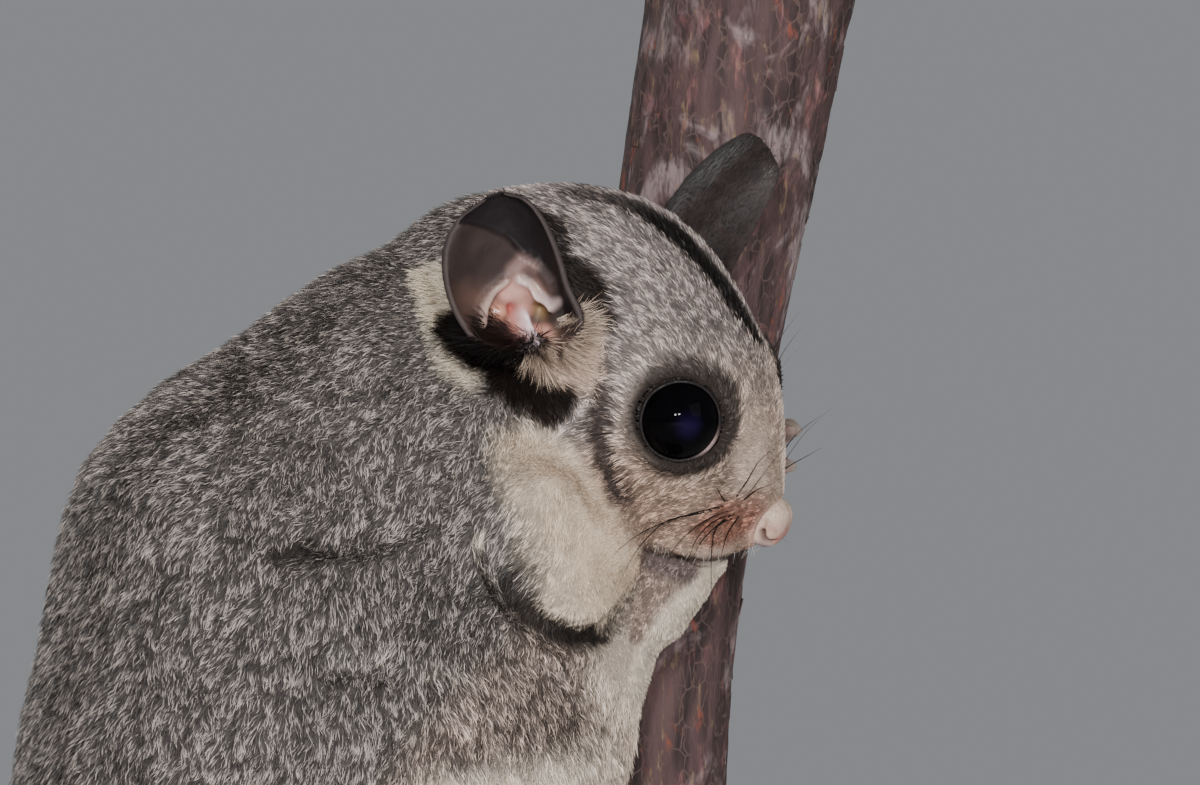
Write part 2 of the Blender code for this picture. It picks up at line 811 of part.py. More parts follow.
def make_lids(name, side):
    """A cup round the eyeball whose edge is the rim of both lids, nearer the pupil above and below."""
    axes, centre = eye_frame(side)
    radius = EYE_RADIUS + GAP + LID_THICKNESS
    rings = []
    for degrees in LID_CUP:
        polar = math.radians(degrees)
        across, rise = radius * math.sin(polar), radius * math.cos(polar)
        rings.append(eye_ring(axes, centre, across, rise, LID_SIDES))
    for share, height in LID_RIM:
        edge = []
        for a in turns(LID_SIDES):
            rise = LID_RISE + LID_ALMOND * math.sin(a) ** 2 + height
            reach = math.sqrt(radius**2 - rise**2) * share
            edge.append(centre + axes @ Vector((math.cos(a) * reach, math.sin(a) * reach, rise)))
        rings.append(edge)
    bm = bmesh.new()
    loft_into(bm, rings)
    return object_from(name, bm)


def make_eye_clearing(name, side):
    """A flared bowl over the eye, so that no skin lies over the eyeball inside the lids' rim."""
    axes, centre = eye_frame(side)
    bm = bmesh.new()
    loft_into(bm, [eye_ring(axes, centre, radius, rise, EYE_BOWL_SIDES) for radius, rise in EYE_BOWL])
    return object_from(name, bm)


def make_nose(name, extra):
    bm = bmesh.new()
    ball_into(bm, on_head(*NOSE_CENTRE), [r + extra for r in NOSE_RADII], HEAD_AXES, rings=7, sides=12)
    nose = object_from(name, bm)
    if extra:
        return nose
    for side in (-1, 1):
        bm = bmesh.new()
        x, y, z = NOSTRIL_CENTRE
        ball_into(bm, on_head(x, y * side, z), NOSTRIL_RADII, HEAD_AXES, rings=5, sides=8)
        hole = object_from("nostril", bm)
        boolean(nose, hole, "DIFFERENCE")
        remove(hole)
    return keep_largest(nose)


def make_mouth_cut(name):
    """A thin blade along the line between the lips, from one corner round the chin to the other."""
    half = MOUTH_LINE + tuple((x, -y, z) for x, y, z in reversed(MOUTH_LINE[:-1]))
    rings = []
    for x, y, z in smooth_path(half, MOUTH_RINGS):
        out = Vector((max(x - MOUTH_HUB, MOUTH_LEAST_FORWARD) * MOUTH_FORWARD, y, 0)).normalized()
        deep = Vector((x, y, z)) - out * MOUTH_DEPTH
        outside = Vector((x, y, z)) + out * MOUTH_OUTSIDE
        lift = Vector((0, 0, MOUTH_WIDTH / 2))
        rings.append([on_head(*p) for p in (deep + lift, outside + lift, outside - lift, deep - lift)])
    bm = bmesh.new()
    loft_into(bm, rings)
    return object_from(name, bm)


def make_ear(name, pose):
    """A pinna: a tube at the root that opens into a wide cup and ends in a rounded flap."""
    front, rear = EAR_HALVES[name]
    first, second = (rear, front) if name == "ear_right" else (front, rear)
    base, axis, opening = (Vector(v) for v in pose[:3])
    axis = axis.normalized()
    opening = (opening - axis * opening.dot(axis)).normalized()
    side = axis.cross(opening)
    rows = []
    for t, (half, wrap, lean) in zip(EAR_STEPS, smooth_values(EAR_SHAPE, len(EAR_STEPS))):
        wrap = math.radians(wrap)
        radius = pose[3] * half / math.sin(min(wrap, math.pi / 2))
        row = []
        for k in range(EAR_COLUMNS + 1):
            a = wrap * (2 * k / EAR_COLUMNS - 1)
            at_root, above = first if a < 0 else second
            half_width = at_root + (above - at_root) * min(t / EAR_SPREAD, 1.0)
            back = base + axis * (EAR_LENGTH * t) + opening * (lean + radius * (1 - math.cos(a)))
            row.append(back + side * (radius * math.sin(a) * half_width))
        rows.append(row)
    bm = bmesh.new()
    sheet_into(bm, rows, EAR_THICKNESS)
    return object_from(name, bm)


# Hands and feet


def make_digit(name, palm, tip, radius, claw, extra):
    """A finger or toe from its palm over the bark, and its claw. Both ends are places on the perch."""
    stops = []
    for share, lift in DIGIT_ARCH:
        angle, height, off = (p + (t - p) * share for p, t in zip(palm, tip))
        stops.append(on_perch(angle, height, off + lift))
    bm = bmesh.new()
    path = [*stops, stops[-1] + (stops[-1] - stops[-2]).normalized() * (radius * DIGIT_PAD + extra)]
    tube_into(bm, path, [radius * width + extra for width in DIGIT_WIDTHS], 6)
    pieces = [object_from(name, bm)]
    if claw:
        hook = []
        for share, drop in ((0.9, -0.3), (1.0 + 0.45 * claw, 0.2), (1.0 + claw, 1.0)):
            angle, height, off = (p + (t - p) * share for p, t in zip(palm, tip))
            off = max(tip[2] - drop * (tip[2] - CLAW_TIP_OFF), CLAW_TIP_OFF)
            hook.append(on_perch(angle, height, off))
        bm = bmesh.new()
        tube_into(bm, hook, [r + extra for r in CLAW_RADII], 4)
        pieces.append(object_from(name, bm))
    return pieces


def make_paw(name, paw, extra=0.0):
    """Palm or sole, the stub that enters the limb, and the digits."""
    palm, stub, radii, digits = paw
    centre = on_perch(*palm)
    out = (centre - perch_at(palm[1])[0]).normalized()
    axes = Matrix((Vector((0, 0, 1)).cross(out), out, Vector((0, 0, 1)))).transposed()
    bm = bmesh.new()
    ball_into(bm, centre, [r + extra for r in radii], axes, rings=6, sides=10)
    pieces = [object_from(name, bm)]
    bm = bmesh.new()
    tube_into(bm, (centre, Vector(stub)), [r + extra for r in STUB_RADII], 8)
    pieces.append(object_from(name, bm))
    for tip, radius, claw in digits:
        start = (palm[0] + (tip[0] - palm[0]) * KNUCKLE, palm[1] + (tip[1] - palm[1]) * KNUCKLE, palm[2])
        pieces.extend(make_digit(name, start, tip, radius, claw, extra))
    return union_of(name, pieces)


# Membrane and tail


def make_membrane(name, route):
    """The gliding membrane, gathered into a wavy fold along the flank."""
    points, outward = route
    path = smooth_path(points, MEMBRANE_RINGS)
    wide = []
    radii = []
    for k, (point, (out, across)) in enumerate(zip(path, ring_axes(path, outward))):
        t = k / (MEMBRANE_RINGS - 1)
        fade = max(math.sin(math.pi * t), 0.0) ** 0.5
        wide.append(point + across * (MEMBRANE_WAVE * fade * math.sin(2 * math.pi * MEMBRANE_WAVES * t)))
        radii.append(MEMBRANE_REACH * (MEMBRANE_ENDS + (1 - MEMBRANE_ENDS) * fade))
    bm = bmesh.new()
    tube_into(bm, wide, radii, MEMBRANE_SIDES, outward, MEMBRANE_FLATNESS)
    return object_from(name, bm)


def tail_frames():
    """Places along the tail: a point, the radius out to the tips of the hair, and the axes across."""
    rows = smooth_values(TAIL_STATIONS, TAIL_SAMPLES)
    path = [Vector(r[:3]) for r in rows]
    return list(zip(path, [r[3] for r in rows], ring_axes(path, (1, 0, 0))))


def make_core(name, frames, first, last, extra):
    """The flesh of one length of the tail. After the first, each begins inside the length above."""
    overlap = 1.0 if first else 0.0
    rings = []
    for k in range(TAIL_CORE_RINGS):
        place = first + (last - first) * k / (TAIL_CORE_RINGS - 1)
        centre, reach, (wide, deep) = frames[round(place)]
        along = wide.cross(deep)
        if k == 0:
            centre = centre - along * overlap
        if k == TAIL_CORE_RINGS - 1:
            centre = centre + along * extra
        wide, deep = wide * (reach * TAIL_CORE + extra), deep * (reach * TAIL_CORE + extra)
        rings.append([centre + wide * math.cos(a) + deep * math.sin(a) for a in turns(TAIL_SIDES)])
    bm = bmesh.new()
    loft_into(bm, rings)
    return object_from(name, bm)


def make_lock(name, frames, start, angle, drift, size, extra):
    """A flat tapered lock that leaves the core and bends to lie along the tail."""
    step = (frames[1][0] - frames[0][0]).length
    _, reach, (wide, deep) = frames[start]
    size *= 0.5 + 0.5 * reach / TAIL_WIDEST
    broad = deep * math.cos(angle) - wide * math.sin(angle)
    path = []
    for k in range(len(LOCK_TAPER)):
        s = k / (len(LOCK_TAPER) - 1)
        place = min(start + s * size * LOCK_LENGTH / step, TAIL_SAMPLES - 1)
        centre, reach, (wide, deep) = frames[round(place)]
        out = wide * math.cos(angle + drift * s) + deep * math.sin(angle + drift * s)
        low = reach * TAIL_CORE - min(LOCK_SINK, reach * TAIL_CORE / 2)
        high = reach - LOCK_THICKNESS / 2
        path.append(centre + out * (low + (high - low) * size * (1 - (1 - s) ** LOCK_RISE)))
    path[-1] = path[-1] + (path[-1] - path[-2]).normalized() * extra
    rings = []
    for point, taper, (across, thin) in zip(path, LOCK_TAPER, ring_axes(path, broad)):
        a = across * (LOCK_WIDTH / 2 * size * taper + extra)
        b = thin * (LOCK_THICKNESS / 2 * size * math.sqrt(taper) + extra)
        rings.append((point + a, point + b, point - a, point - b))
    bm = bmesh.new()
    loft_into(bm, rings)
    return object_from(name, bm)


def make_tail_length(name, number, extra=0.0):
    """One length of the tail: its stretch of the core, with the locks rooted in it."""
    frames = tail_frames()
    draw = random.Random(LOCK_SEED + number)
    span = (TAIL_SAMPLES - 1) * TAIL_CORE_END / len(TAIL_LENGTHS)
    pieces = [make_core(name, frames, number * span, (number + 1) * span, extra)]
    rows, count = TAIL_LENGTHS[number]
    for row in range(rows):
        start = round((number + (row + LOCK_FIRST_ROW) / rows) * span)
        for k in range(count):
            angle = 2 * math.pi * (k + row / 2 + draw.uniform(-LOCK_JITTER, LOCK_JITTER)) / count
            size = draw.uniform(*LOCK_SIZES)
            drift = draw.uniform(-LOCK_DRIFT, LOCK_DRIFT)
            pieces.append(make_lock("lock", frames, start, angle, drift, size, extra))
    return union_of(name, pieces, solver="MANIFOLD")


def make_tail(skin, finish):
    for number in range(len(TAIL_LENGTHS)):
        length = make_tail_length(f"tail_{number + 1}", number)
        if number:
            room = make_tail_length("room", number - 1, GAP)
            cut_away(length, room)
            remove(room)
        else:
            cut_away(length, skin)
        finish_node(length, finish)


# The model


def slabs(point, normal):
    """Two large blocks on the side of a plane that its normal points to, the second wider by the gap."""
    z = Vector(normal).normalized()
    x = z.orthogonal().normalized()
    blocks = []
    for name, extra in (("region", 0.0), ("wider", GAP)):
        corners = []
        for depth in (-extra, SLAB_REACH):
            for a, b in ((-1, -1), (1, -1), (1, 1), (-1, 1)):
                across = x * (a * SLAB_REACH) + z.cross(x) * (b * SLAB_REACH)
                corners.append(Vector(point) + across + z * depth)
        bm = bmesh.new()
        loft_into(bm, (corners[:4], corners[4:]))
        blocks.append(object_from(name, bm))
    return blocks


def limb_region(name, joints):
    bm = bmesh.new()
    limb_into(bm, joints, LIMB_REGION_SWELL)
    return thinned(melted(name, bm, REGION_VOXEL, REGION_EVENING), LIMB_REGION_TRIANGLES)


def cut_away(obj, *cutters):
    for cutter in cutters:
        boolean(obj, cutter, "DIFFERENCE")
    return keep_largest(obj)


def build():
    for obj in list(bpy.data.objects):
        bpy.data.objects.remove(obj)

    grey_coat = material("grey_coat", (0.16, 0.14, 0.125))
    head_coat = material("head_coat", (0.24, 0.21, 0.185))
    membrane_coat = material("membrane_coat", (0.10, 0.09, 0.085))
    tail_coat = material("tail_coat", (0.12, 0.105, 0.10))
    ear_skin = material("ear_skin", (0.30, 0.17, 0.14), 0.6)
    paw_skin = material("paw_skin", (0.52, 0.28, 0.23), 0.6)
    nose_skin = material("nose_skin", (0.50, 0.22, 0.19), 0.4)
    eye_black = material("eye_black", (0.008, 0.006, 0.006), 0.06)
    bark = material("bark", (0.10, 0.075, 0.06), 0.85)
    base_wood = material("base_wood", (0.055, 0.04, 0.032), 0.5)
    rod_steel = material("rod_steel", (0.6, 0.6, 0.6), 0.3, 1.0)

    flesh = make_flesh()
    skin = grown(flesh, "skin", GAP)

    perch_room = make_perch("perch_room", PERCH_CLEARANCE)
    cut_away(flesh, perch_room)

    paws = {}
    for name, paw in PAWS.items():
        paws[name] = finish_node(make_paw(name, paw), paw_skin)
        room = make_paw("room", paw, GAP)
        cut_away(flesh, room)
        remove(room)

    for side, label in ((-1, "right"), (1, "left")):
        clearing = make_eye_clearing("clearing", side)
        cut_away(flesh, clearing)
        remove(clearing)
        lids = make_lids("lids", side)
        boolean(flesh, lids, "UNION")
        socket = make_eyeball("socket", side, GAP)
        cut_away(flesh, socket)
        remove(lids, socket)
        finish_node(make_eyeball(f"eye_{label}", side, 0.0), eye_black)

    finish_node(make_nose("nose", 0.0), nose_skin)
    for cutter in (make_nose("room", GAP), make_mouth_cut("mouth")):
        cut_away(flesh, cutter)
        remove(cutter)

    region = head_region("region")
    part_off(flesh, "head", region, grown(region, "wider", GAP), head_coat, CUT_SHARE)
    for name, joints in LIMBS.items():
        region = limb_region("region", joints)
        part_off(flesh, name, region, grown(region, "wider", GAP), grey_coat, CUT_SHARE)
    region, wider = slabs(*NECK_PLANE)
    part_off(flesh, "neck", region, wider, grey_coat, CUT_SHARE)
    flesh.name = "torso"
    keep_largest(thinned(flesh, share=CUT_SHARE))
    finish_node(flesh, grey_coat)

    for name, pose in EARS.items():
        finish_node(cut_away(make_ear(name, pose), skin), ear_skin)
    for name, route in MEMBRANES.items():
        membrane = make_membrane(name, route)
        cut_away(membrane, skin, perch_room)
        for paw in PAWS.values():
            room = make_paw("room", paw, GAP)
            cut_away(membrane, room)
            remove(room)
        finish_node(membrane, membrane_coat)
    make_tail(skin, tail_coat)

    perch = make_perch("perch", 0.0)
    base = make_base("stand_base")
    rod_room = make_rod("rod_room", GAP)
    cut_away(perch, rod_room)
    cut_away(base, rod_room)
    finish_node(perch, bark, 50.0)
    finish_node(base, base_wood)
    finish_node(make_rod("stand_rod", 0.0), rod_steel)
    remove(rod_room, skin, perch_room)


build()
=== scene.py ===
"""Dresses the sugar glider on its cut trunk: skin and coat, the bare parts, the bark and the stand."""
import math
from contextlib import contextmanager

import bmesh
import bpy
import numpy as np
from mathutils import Matrix, Vector
from mathutils.kdtree import KDTree


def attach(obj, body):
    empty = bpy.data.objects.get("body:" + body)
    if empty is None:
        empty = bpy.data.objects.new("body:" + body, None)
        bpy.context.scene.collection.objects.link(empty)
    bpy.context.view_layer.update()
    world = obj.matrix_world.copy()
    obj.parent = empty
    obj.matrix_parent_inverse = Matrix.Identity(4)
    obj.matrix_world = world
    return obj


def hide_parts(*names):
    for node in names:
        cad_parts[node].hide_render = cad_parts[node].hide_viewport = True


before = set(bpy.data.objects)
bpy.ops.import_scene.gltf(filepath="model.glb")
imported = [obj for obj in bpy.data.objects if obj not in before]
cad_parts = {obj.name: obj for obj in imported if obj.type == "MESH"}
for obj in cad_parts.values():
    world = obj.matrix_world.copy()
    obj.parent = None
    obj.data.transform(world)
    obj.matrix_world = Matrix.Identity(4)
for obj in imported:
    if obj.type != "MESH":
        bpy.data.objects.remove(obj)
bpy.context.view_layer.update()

# Sizes in millimetres in the figure's frame, as in the solids. Its origin is at the middle of the side view

MM = 0.001
ORIGIN = np.array([14.0, -14.0, 226.0])
HEAD_ORIGIN = np.array([1.4, 0.0, 4.2])
HEAD_TURN = (
    Matrix.Rotation(math.radians(-12), 3, "Z")
    @ Matrix.Rotation(math.radians(31), 3, "Y")
    @ Matrix.Rotation(math.radians(15), 3, "X")
)
HEAD_AXES = np.array(HEAD_TURN)

EYE_CENTRE = np.array([10.3, 9.0, 0.9])
EYE_AXIS = np.array([0.42, 0.86, 0.28]) / np.linalg.norm([0.42, 0.86, 0.28])
EYE_RADIUS = 4.6
NOSE_CENTRE = np.array([22.3, 0.0, -7.0])
NOSE_RADII = np.array([2.0, 2.5, 2.1])
# Each ear: its root, its long axis, the way that it opens, and its size beside the right one
EARS = {
    "ear_right": ((-5.6, -12.4, 4.0), (-0.25, -0.42, 0.87), (0.2, -0.85, -0.45), 1.0),
    "ear_left": ((4.6, 11.2, 12.2), (0.66, -0.12, 0.73), (0.74, 0.57, -0.45), 0.85),
}
EAR_LENGTH = 17.8
# From an ear's root to its tip: half width, the angle that it wraps round, and how far it stands forward
EAR_SHAPE = (
    (3.2, 140.0, -0.6),
    (4.9, 118.0, -1.1),
    (6.4, 92.0, -1.4),
    (7.1, 75.0, -1.5),
    (6.9, 64.0, -1.3),
    (6.0, 56.0, -0.9),
    (4.4, 50.0, -0.4),
    (1.4, 40.0, 0.0),
)
# Up the trunk: height, the middle's two places and the radius
PERCH_STATIONS = (
    (-120.0, 1.5, 29.0, 9.6),
    (-85.0, 2.6, 29.0, 9.3),
    (-55.0, 3.4, 29.0, 9.1),
    (-30.0, 4.6, 29.0, 9.1),
    (-8.0, 7.0, 29.0, 9.2),
    (12.0, 10.3, 29.0, 9.7),
    (30.0, 13.5, 29.2, 10.5),
    (50.0, 17.3, 29.6, 11.1),
)
BACK_LINE = (
    (-8.0, 5.0, 20.5),
    (-17.0, 1.5, 17.5),
    (-25.8, -7.0, 9.6),
    (-33.0, -10.6, 2.3),
    (-43.8, -12.4, -4.8),
    (-49.2, -13.6, -12.0),
    (-51.2, -13.8, -24.0),
    (-53.2, -14.2, -39.5),
    (-53.2, -13.0, -55.0),
    (-47.0, -10.0, -70.0),
    (-38.0, -4.5, -81.0),
)
BELLY_LINE = (
    (4.0, 4.0, -19.0),
    (2.0, 11.0, -13.0),
    (0.5, 13.0, -20.0),
    (-1.0, 15.0, -27.0),
    (-3.5, 16.0, -34.0),
    (-6.0, 17.0, -42.0),
    (-8.0, 18.0, -50.0),
    (-10.0, 18.0, -60.0),
    (-13.0, 17.0, -69.0),
    (-17.0, 13.0, -77.0),
)
BODY_AXIS = (
    (-7.0, 7.5, 6.6),
    (-13.0, 5.0, 0.0),
    (-17.0, 4.0, -7.5),
    (-21.0, 3.2, -15.7),
    (-25.0, 2.5, -24.0),
    (-28.0, 2.5, -33.5),
    (-30.0, 3.0, -44.7),
    (-30.5, 3.2, -57.5),
    (-29.5, 4.2, -69.5),
    (-27.5, 5.2, -79.0),
    (-25.5, 6.5, -86.0),
)
LIMBS = {
    "arm_right": ((-13.0, -9.0, -12.0), (-24.0, -12.0, -30.0), (-4.6, 10.6, -46.6)),
    "arm_left": ((-14.0, 18.0, -10.0), (-16.0, 33.0, -26.0), (-0.5, 42.5, -13.5)),
    "leg_right": ((-27.0, -9.0, -68.0), (-12.0, -16.0, -56.0), (-9.5, 7.6, -85.0)),
    "leg_left": ((-34.0, 17.0, -66.0), (-24.0, 32.0, -54.0), (-16.5, 36.5, -85.0)),
}
# Along the tail: a place and how far the hair reaches from it
TAIL_STATIONS = (
    (-26.0, 7.0, -84.0, 8.0),
    (-24.5, 9.0, -98.0, 8.6),
    (-23.0, 10.0, -114.0, 9.8),
    (-21.5, 9.5, -130.0, 10.8),
    (-20.5, 7.0, -146.0, 11.2),
    (-20.5, 2.0, -162.0, 10.8),
    (-23.0, -6.0, -177.0, 10.0),
    (-31.0, -15.0, -188.0, 9.2),
    (-43.0, -22.0, -190.0, 8.2),
    (-54.0, -26.0, -183.0, 6.0),
    (-60.0, -28.0, -175.0, 3.0),
)
FLESH = (
    "head", "neck", "torso", "arm_right", "arm_left", "leg_right", "leg_left",
    "membrane_right", "membrane_left",
)
MARKED_PARTS = (*FLESH, "tail")
PAWS = ("hand_right", "hand_left", "foot_right", "foot_left")
PERCH_FOOT, PERCH_TOP = -120.0, 50.0
SKIN_VOXEL = 0.7
FLAKE_DEPTH = 0.12
BASE_RADIUS, BASE_HEIGHT = 66.0, 12.0
FLOOR_REACH = 4.0
WHISKER_SIDES = 5

# The coat: clumps in millimetres, numbers of hairs, and how its colours stand to the skin's

HAIRS_TO_A_PIECE = 60000
BODY_CLUMP, HEAD_CLUMP, LIGHT_CLUMP = 1.1, 0.6, 0.42
LONGEST_PULL = 2.0
TAIL_HAIRS = 38000
LOCKS_ROUND_TAIL, LOCK_STEP = 14, 5.5
COAT_GAIN = 1.35
SKIN_GAIN = 0.62
PALEST_SKIN, PALEST_HAIR = 0.9, 0.92
LID_OPENING = math.radians(58.0)


# Numbers on arrays of points


def smoothstep(low, high, value):
    t = np.clip((value - low) / (high - low), 0.0, 1.0)
    return t * t * (3 - 2 * t)


def unit(vectors):
    return vectors / np.maximum(np.linalg.norm(vectors, axis=-1, keepdims=True), 1e-9)


def curve(rows, count):
    """Rows of numbers read from a smooth curve through them."""
    rows = np.array(rows, float)
    padded = np.vstack([rows[:1], rows, rows[-1:]])
    t = np.linspace(0, len(rows) - 1, count)
    k = np.minimum(t.astype(int), len(rows) - 2)
    s = (t - k)[:, None]
    p, q, r, w = (padded[k + i] for i in range(4))
    bend = (2 * p - 5 * q + 4 * r - w) * s**2 + (3 * q - p - 3 * r + w) * s**3
    return 0.5 * (2 * q + (r - p) * s + bend)


def distance_to_line(points, line):
    """Distance to a line through points, and how far along it the nearest place is, from 0 to 1."""
    line = np.array(line, float)
    best = np.full(len(points), 1e9)
    place = np.zeros(len(points))
    for k in range(len(line) - 1):
        a, d = line[k], line[k + 1] - line[k]
        s = np.clip((points - a) @ d / max(d @ d, 1e-9), 0, 1)
        gap = np.linalg.norm(points - a - s[:, None] * d, axis=1)
        near = gap < best
        best[near] = gap[near]
        place[near] = (k + s[near]) / (len(line) - 1)
    return best, place


def patch(points, route, inner, outer):
    """1 within a distance of a route, fading to 0 at the outer one."""
    return 1 - smoothstep(inner, outer, distance_to_line(points, route)[0])


def in_head(points):
    return (points - HEAD_ORIGIN) @ HEAD_AXES


def from_head(points):
    return HEAD_ORIGIN + np.asarray(points) @ HEAD_AXES.T


def spots(*pairs):
    """Places in the side view, in tenths of a millimetre from the view's upper left corner."""
    return [((x - 600) / 10, 0.0, (392.5 - y) / 10) for x, y in pairs]


def right_twins(points):
    """Each point, or for the head's left half its mirror on the right, as the markings are alike there."""
    head = in_head(points)
    mirrored = from_head(head * (1, 0, 1) - np.abs(head[:, 1:2]) * (0, 1, 0))
    near_head = smoothstep(38.0, 28.0, np.linalg.norm(points - HEAD_ORIGIN, axis=1))[:, None]
    return points + (mirrored - points) * near_head


def side_view(points):
    return points * (1, 0, 1)


def about_mouth(points):
    """Distance from the mouth's line in the side view, how far back along it, and what lies above it."""
    flat = side_view(right_twins(points))
    gap, along = distance_to_line(flat, MOUTH)
    line = np.array(MOUTH)[::-1]
    return gap, along, flat[:, 2] > np.interp(flat[:, 0], line[:, 0], line[:, 2])


def hashed(cells, salt):
    """Even random numbers that depend only on whole-number cells."""
    mixed = cells[..., 0] * 73856093 ^ cells[..., 1] * 19349663 ^ cells[..., 2] * 83492791 ^ salt * 2654435761
    mixed = (mixed ^ (mixed >> 13)) * 1274126177 & 0xFFFFFFFF
    mixed = (mixed ^ (mixed >> 16)) * 2246822519 & 0xFFFFFFFF
    return ((mixed ^ (mixed >> 15)) & 0xFFFFFF) / 0xFFFFFF


def cloud(points, size, salt=0):
    """Smooth random values, about -1 to 1, whose lumps have a size."""
    p = points / size
    cell = np.floor(p).astype(np.int64)
    f = p - cell
    f = f * f * (3 - 2 * f)
    total = np.zeros(len(points))
    for i in (0, 1):
        for j in (0, 1):
            for k in (0, 1):
                x, y, z = (f[:, n] if far else 1 - f[:, n] for n, far in enumerate((i, j, k)))
                total += x * y * z * hashed(cell + (i, j, k), salt)
    return total * 2 - 1


def layered(points, size, salt=0, layers=3):
    return sum(cloud(points, size / 2**k, salt + k) * 0.6**k for k in range(layers))


# Meshes from arrays


def placed(name, data):
    """A new object in the scene."""
    obj = bpy.data.objects.new(name, data)
    bpy.context.scene.collection.objects.link(obj)
    return obj


@contextmanager
def opened(mesh):
    """A mesh's faces for editing, written back to it at the end."""
    bm = bmesh.new()
    bm.from_mesh(mesh)
    bm.verts.ensure_lookup_table()
    yield bm
    bm.to_mesh(mesh)
    bm.free()


def tube_faces(rings, sides, looped=False):
    """Faces over a row of rings: a loop, or closed at its ends by two points that follow the last ring."""
    i, j = np.divmod(np.arange((rings if looped else rings - 1) * sides), sides)
    here, after, k = i * sides, (i + 1) % rings * sides, (j + 1) % sides
    faces = np.stack([here + j, here + k, after + k, here + j, after + k, after + j], axis=1).reshape(-1, 3)
    if looped:
        return faces
    j = np.arange(sides)
    k, last, end = (j + 1) % sides, (rings - 1) * sides, j * 0 + rings * sides
    caps = np.stack([end, k, j, end + 1, last + j, last + k], axis=1).reshape(-1, 3)
    return np.vstack([faces, caps])


def sheet_faces(grid):
    """Faces over a grid of point numbers: all the first halves of its squares, then all the second ones."""
    a, b, c, d = (part.ravel() for part in (grid[:-1, :-1], grid[:-1, 1:], grid[1:, 1:], grid[1:, :-1]))
    return [np.stack([a, b, c], 1), np.stack([a, c, d], 1)]


def mesh_object(name, points, faces, colours=None, uv=None):
    """A mesh from points in the figure's frame, rows of numbers for its faces, and a uv for each corner."""
    faces = np.asarray(faces, np.int32)
    mesh = bpy.data.meshes.new(name)
    mesh.vertices.add(len(points))
    mesh.vertices.foreach_set("co", ((points + ORIGIN) * MM).astype(np.float32).ravel())
    mesh.loops.add(faces.size)
    mesh.loops.foreach_set("vertex_index", faces.ravel())
    mesh.polygons.add(len(faces))
    mesh.polygons.foreach_set("loop_start", np.arange(0, faces.size, faces.shape[1], dtype=np.int32))
    mesh.polygons.foreach_set("use_smooth", np.ones(len(faces), bool))
    if colours is not None:
        paint(mesh, colours)
    if uv is not None:
        mesh.uv_layers.new(name="OFBake").uv.foreach_set("vector", uv.astype(np.float32).ravel())
    mesh.update(calc_edges=True)
    return placed(name, mesh)


def paint(mesh, colours):
    rgba = np.ones((len(colours), 4), np.float32)
    rgba[:, :3] = colours
    mesh.attributes.new("shade", "FLOAT_COLOR", "POINT").data.foreach_set("color", rgba.ravel())


def points_of(mesh):
    flat = np.empty(len(mesh.vertices) * 3, np.float32)
    mesh.vertices.foreach_get("co", flat)
    return flat.reshape(-1, 3).astype(float) / MM - ORIGIN


def normals_of(mesh):
    flat = np.empty(len(mesh.vertices) * 3, np.float32)
    mesh.vertex_normals.foreach_get("vector", flat)
    return flat.reshape(-1, 3).astype(float)


def triangles_of(mesh):
    mesh.calc_loop_triangles()
    corners = np.empty(len(mesh.loop_triangles) * 3, np.int32)
    loops = np.empty(len(mesh.loop_triangles) * 3, np.int32)
    mesh.loop_triangles.foreach_get("vertices", corners)
    mesh.loop_triangles.foreach_get("loops", loops)
    return corners.reshape(-1, 3), loops.reshape(-1, 3)


def set_points(mesh, points):
    """Puts a mesh's points at places in the figure's frame."""
    mesh.vertices.foreach_set("co", ((points + ORIGIN) * MM).astype(np.float32).ravel())
    mesh.update()


def object_of(name, bm):
    """An object from a bmesh in metres."""
    mesh = bpy.data.meshes.new(name)
    bm.to_mesh(mesh)
    bm.free()
    return placed(name, mesh)


def applied(obj):
    """The object with its modifiers made part of its mesh."""
    graph = bpy.context.evaluated_depsgraph_get()
    mesh = bpy.data.meshes.new_from_object(obj.evaluated_get(graph))
    obj.modifiers.clear()
    obj.data = mesh
    return obj


def remeshed(obj, voxel, evening):
    """The object's outer surface in small even squares, smoothed so many times."""
    shell = obj.modifiers.new("shell", "REMESH")
    shell.mode = "VOXEL"
    shell.voxel_size = voxel * MM
    even = obj.modifiers.new("even", "SMOOTH")
    even.factor = 0.5
    even.iterations = evening
    applied(obj)
    obj.data.shade_smooth()
    return obj


def copy_of_nodes(name, nodes, proud=0.0, others=()):
    """One mesh from copies of solid nodes, each pushed out a little so that their thin gaps close."""
    whole = bmesh.new()
    for other in others:
        whole.from_mesh(other.data)
        bpy.data.objects.remove(other)
    for node in nodes:
        piece = bmesh.new()
        piece.from_mesh(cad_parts[node].data)
        bmesh.ops.remove_doubles(piece, verts=piece.verts, dist=2e-6)
        piece.normal_update()
        for v in piece.verts:
            v.co += v.normal * proud * MM
        mesh = bpy.data.meshes.new("piece")
        piece.to_mesh(mesh)
        piece.free()
        whole.from_mesh(mesh)
        bpy.data.meshes.remove(mesh)
    return object_of(name, whole)


def spread(values, pairs, times, amount=0.5):
    """Values evened out between joined points."""
    a, b = pairs[:, 0], pairs[:, 1]
    count = np.bincount(a, minlength=len(values)) + np.bincount(b, minlength=len(values))
    flat = values.reshape(len(values), -1).astype(float)
    for _ in range(times):
        for c in range(flat.shape[1]):
            column = flat[:, c]
            total = np.bincount(a, column[b], len(column)) + np.bincount(b, column[a], len(column))
            flat[:, c] = column * (1 - amount) + total / np.maximum(count, 1) * amount
    return flat.reshape(values.shape)


# Materials


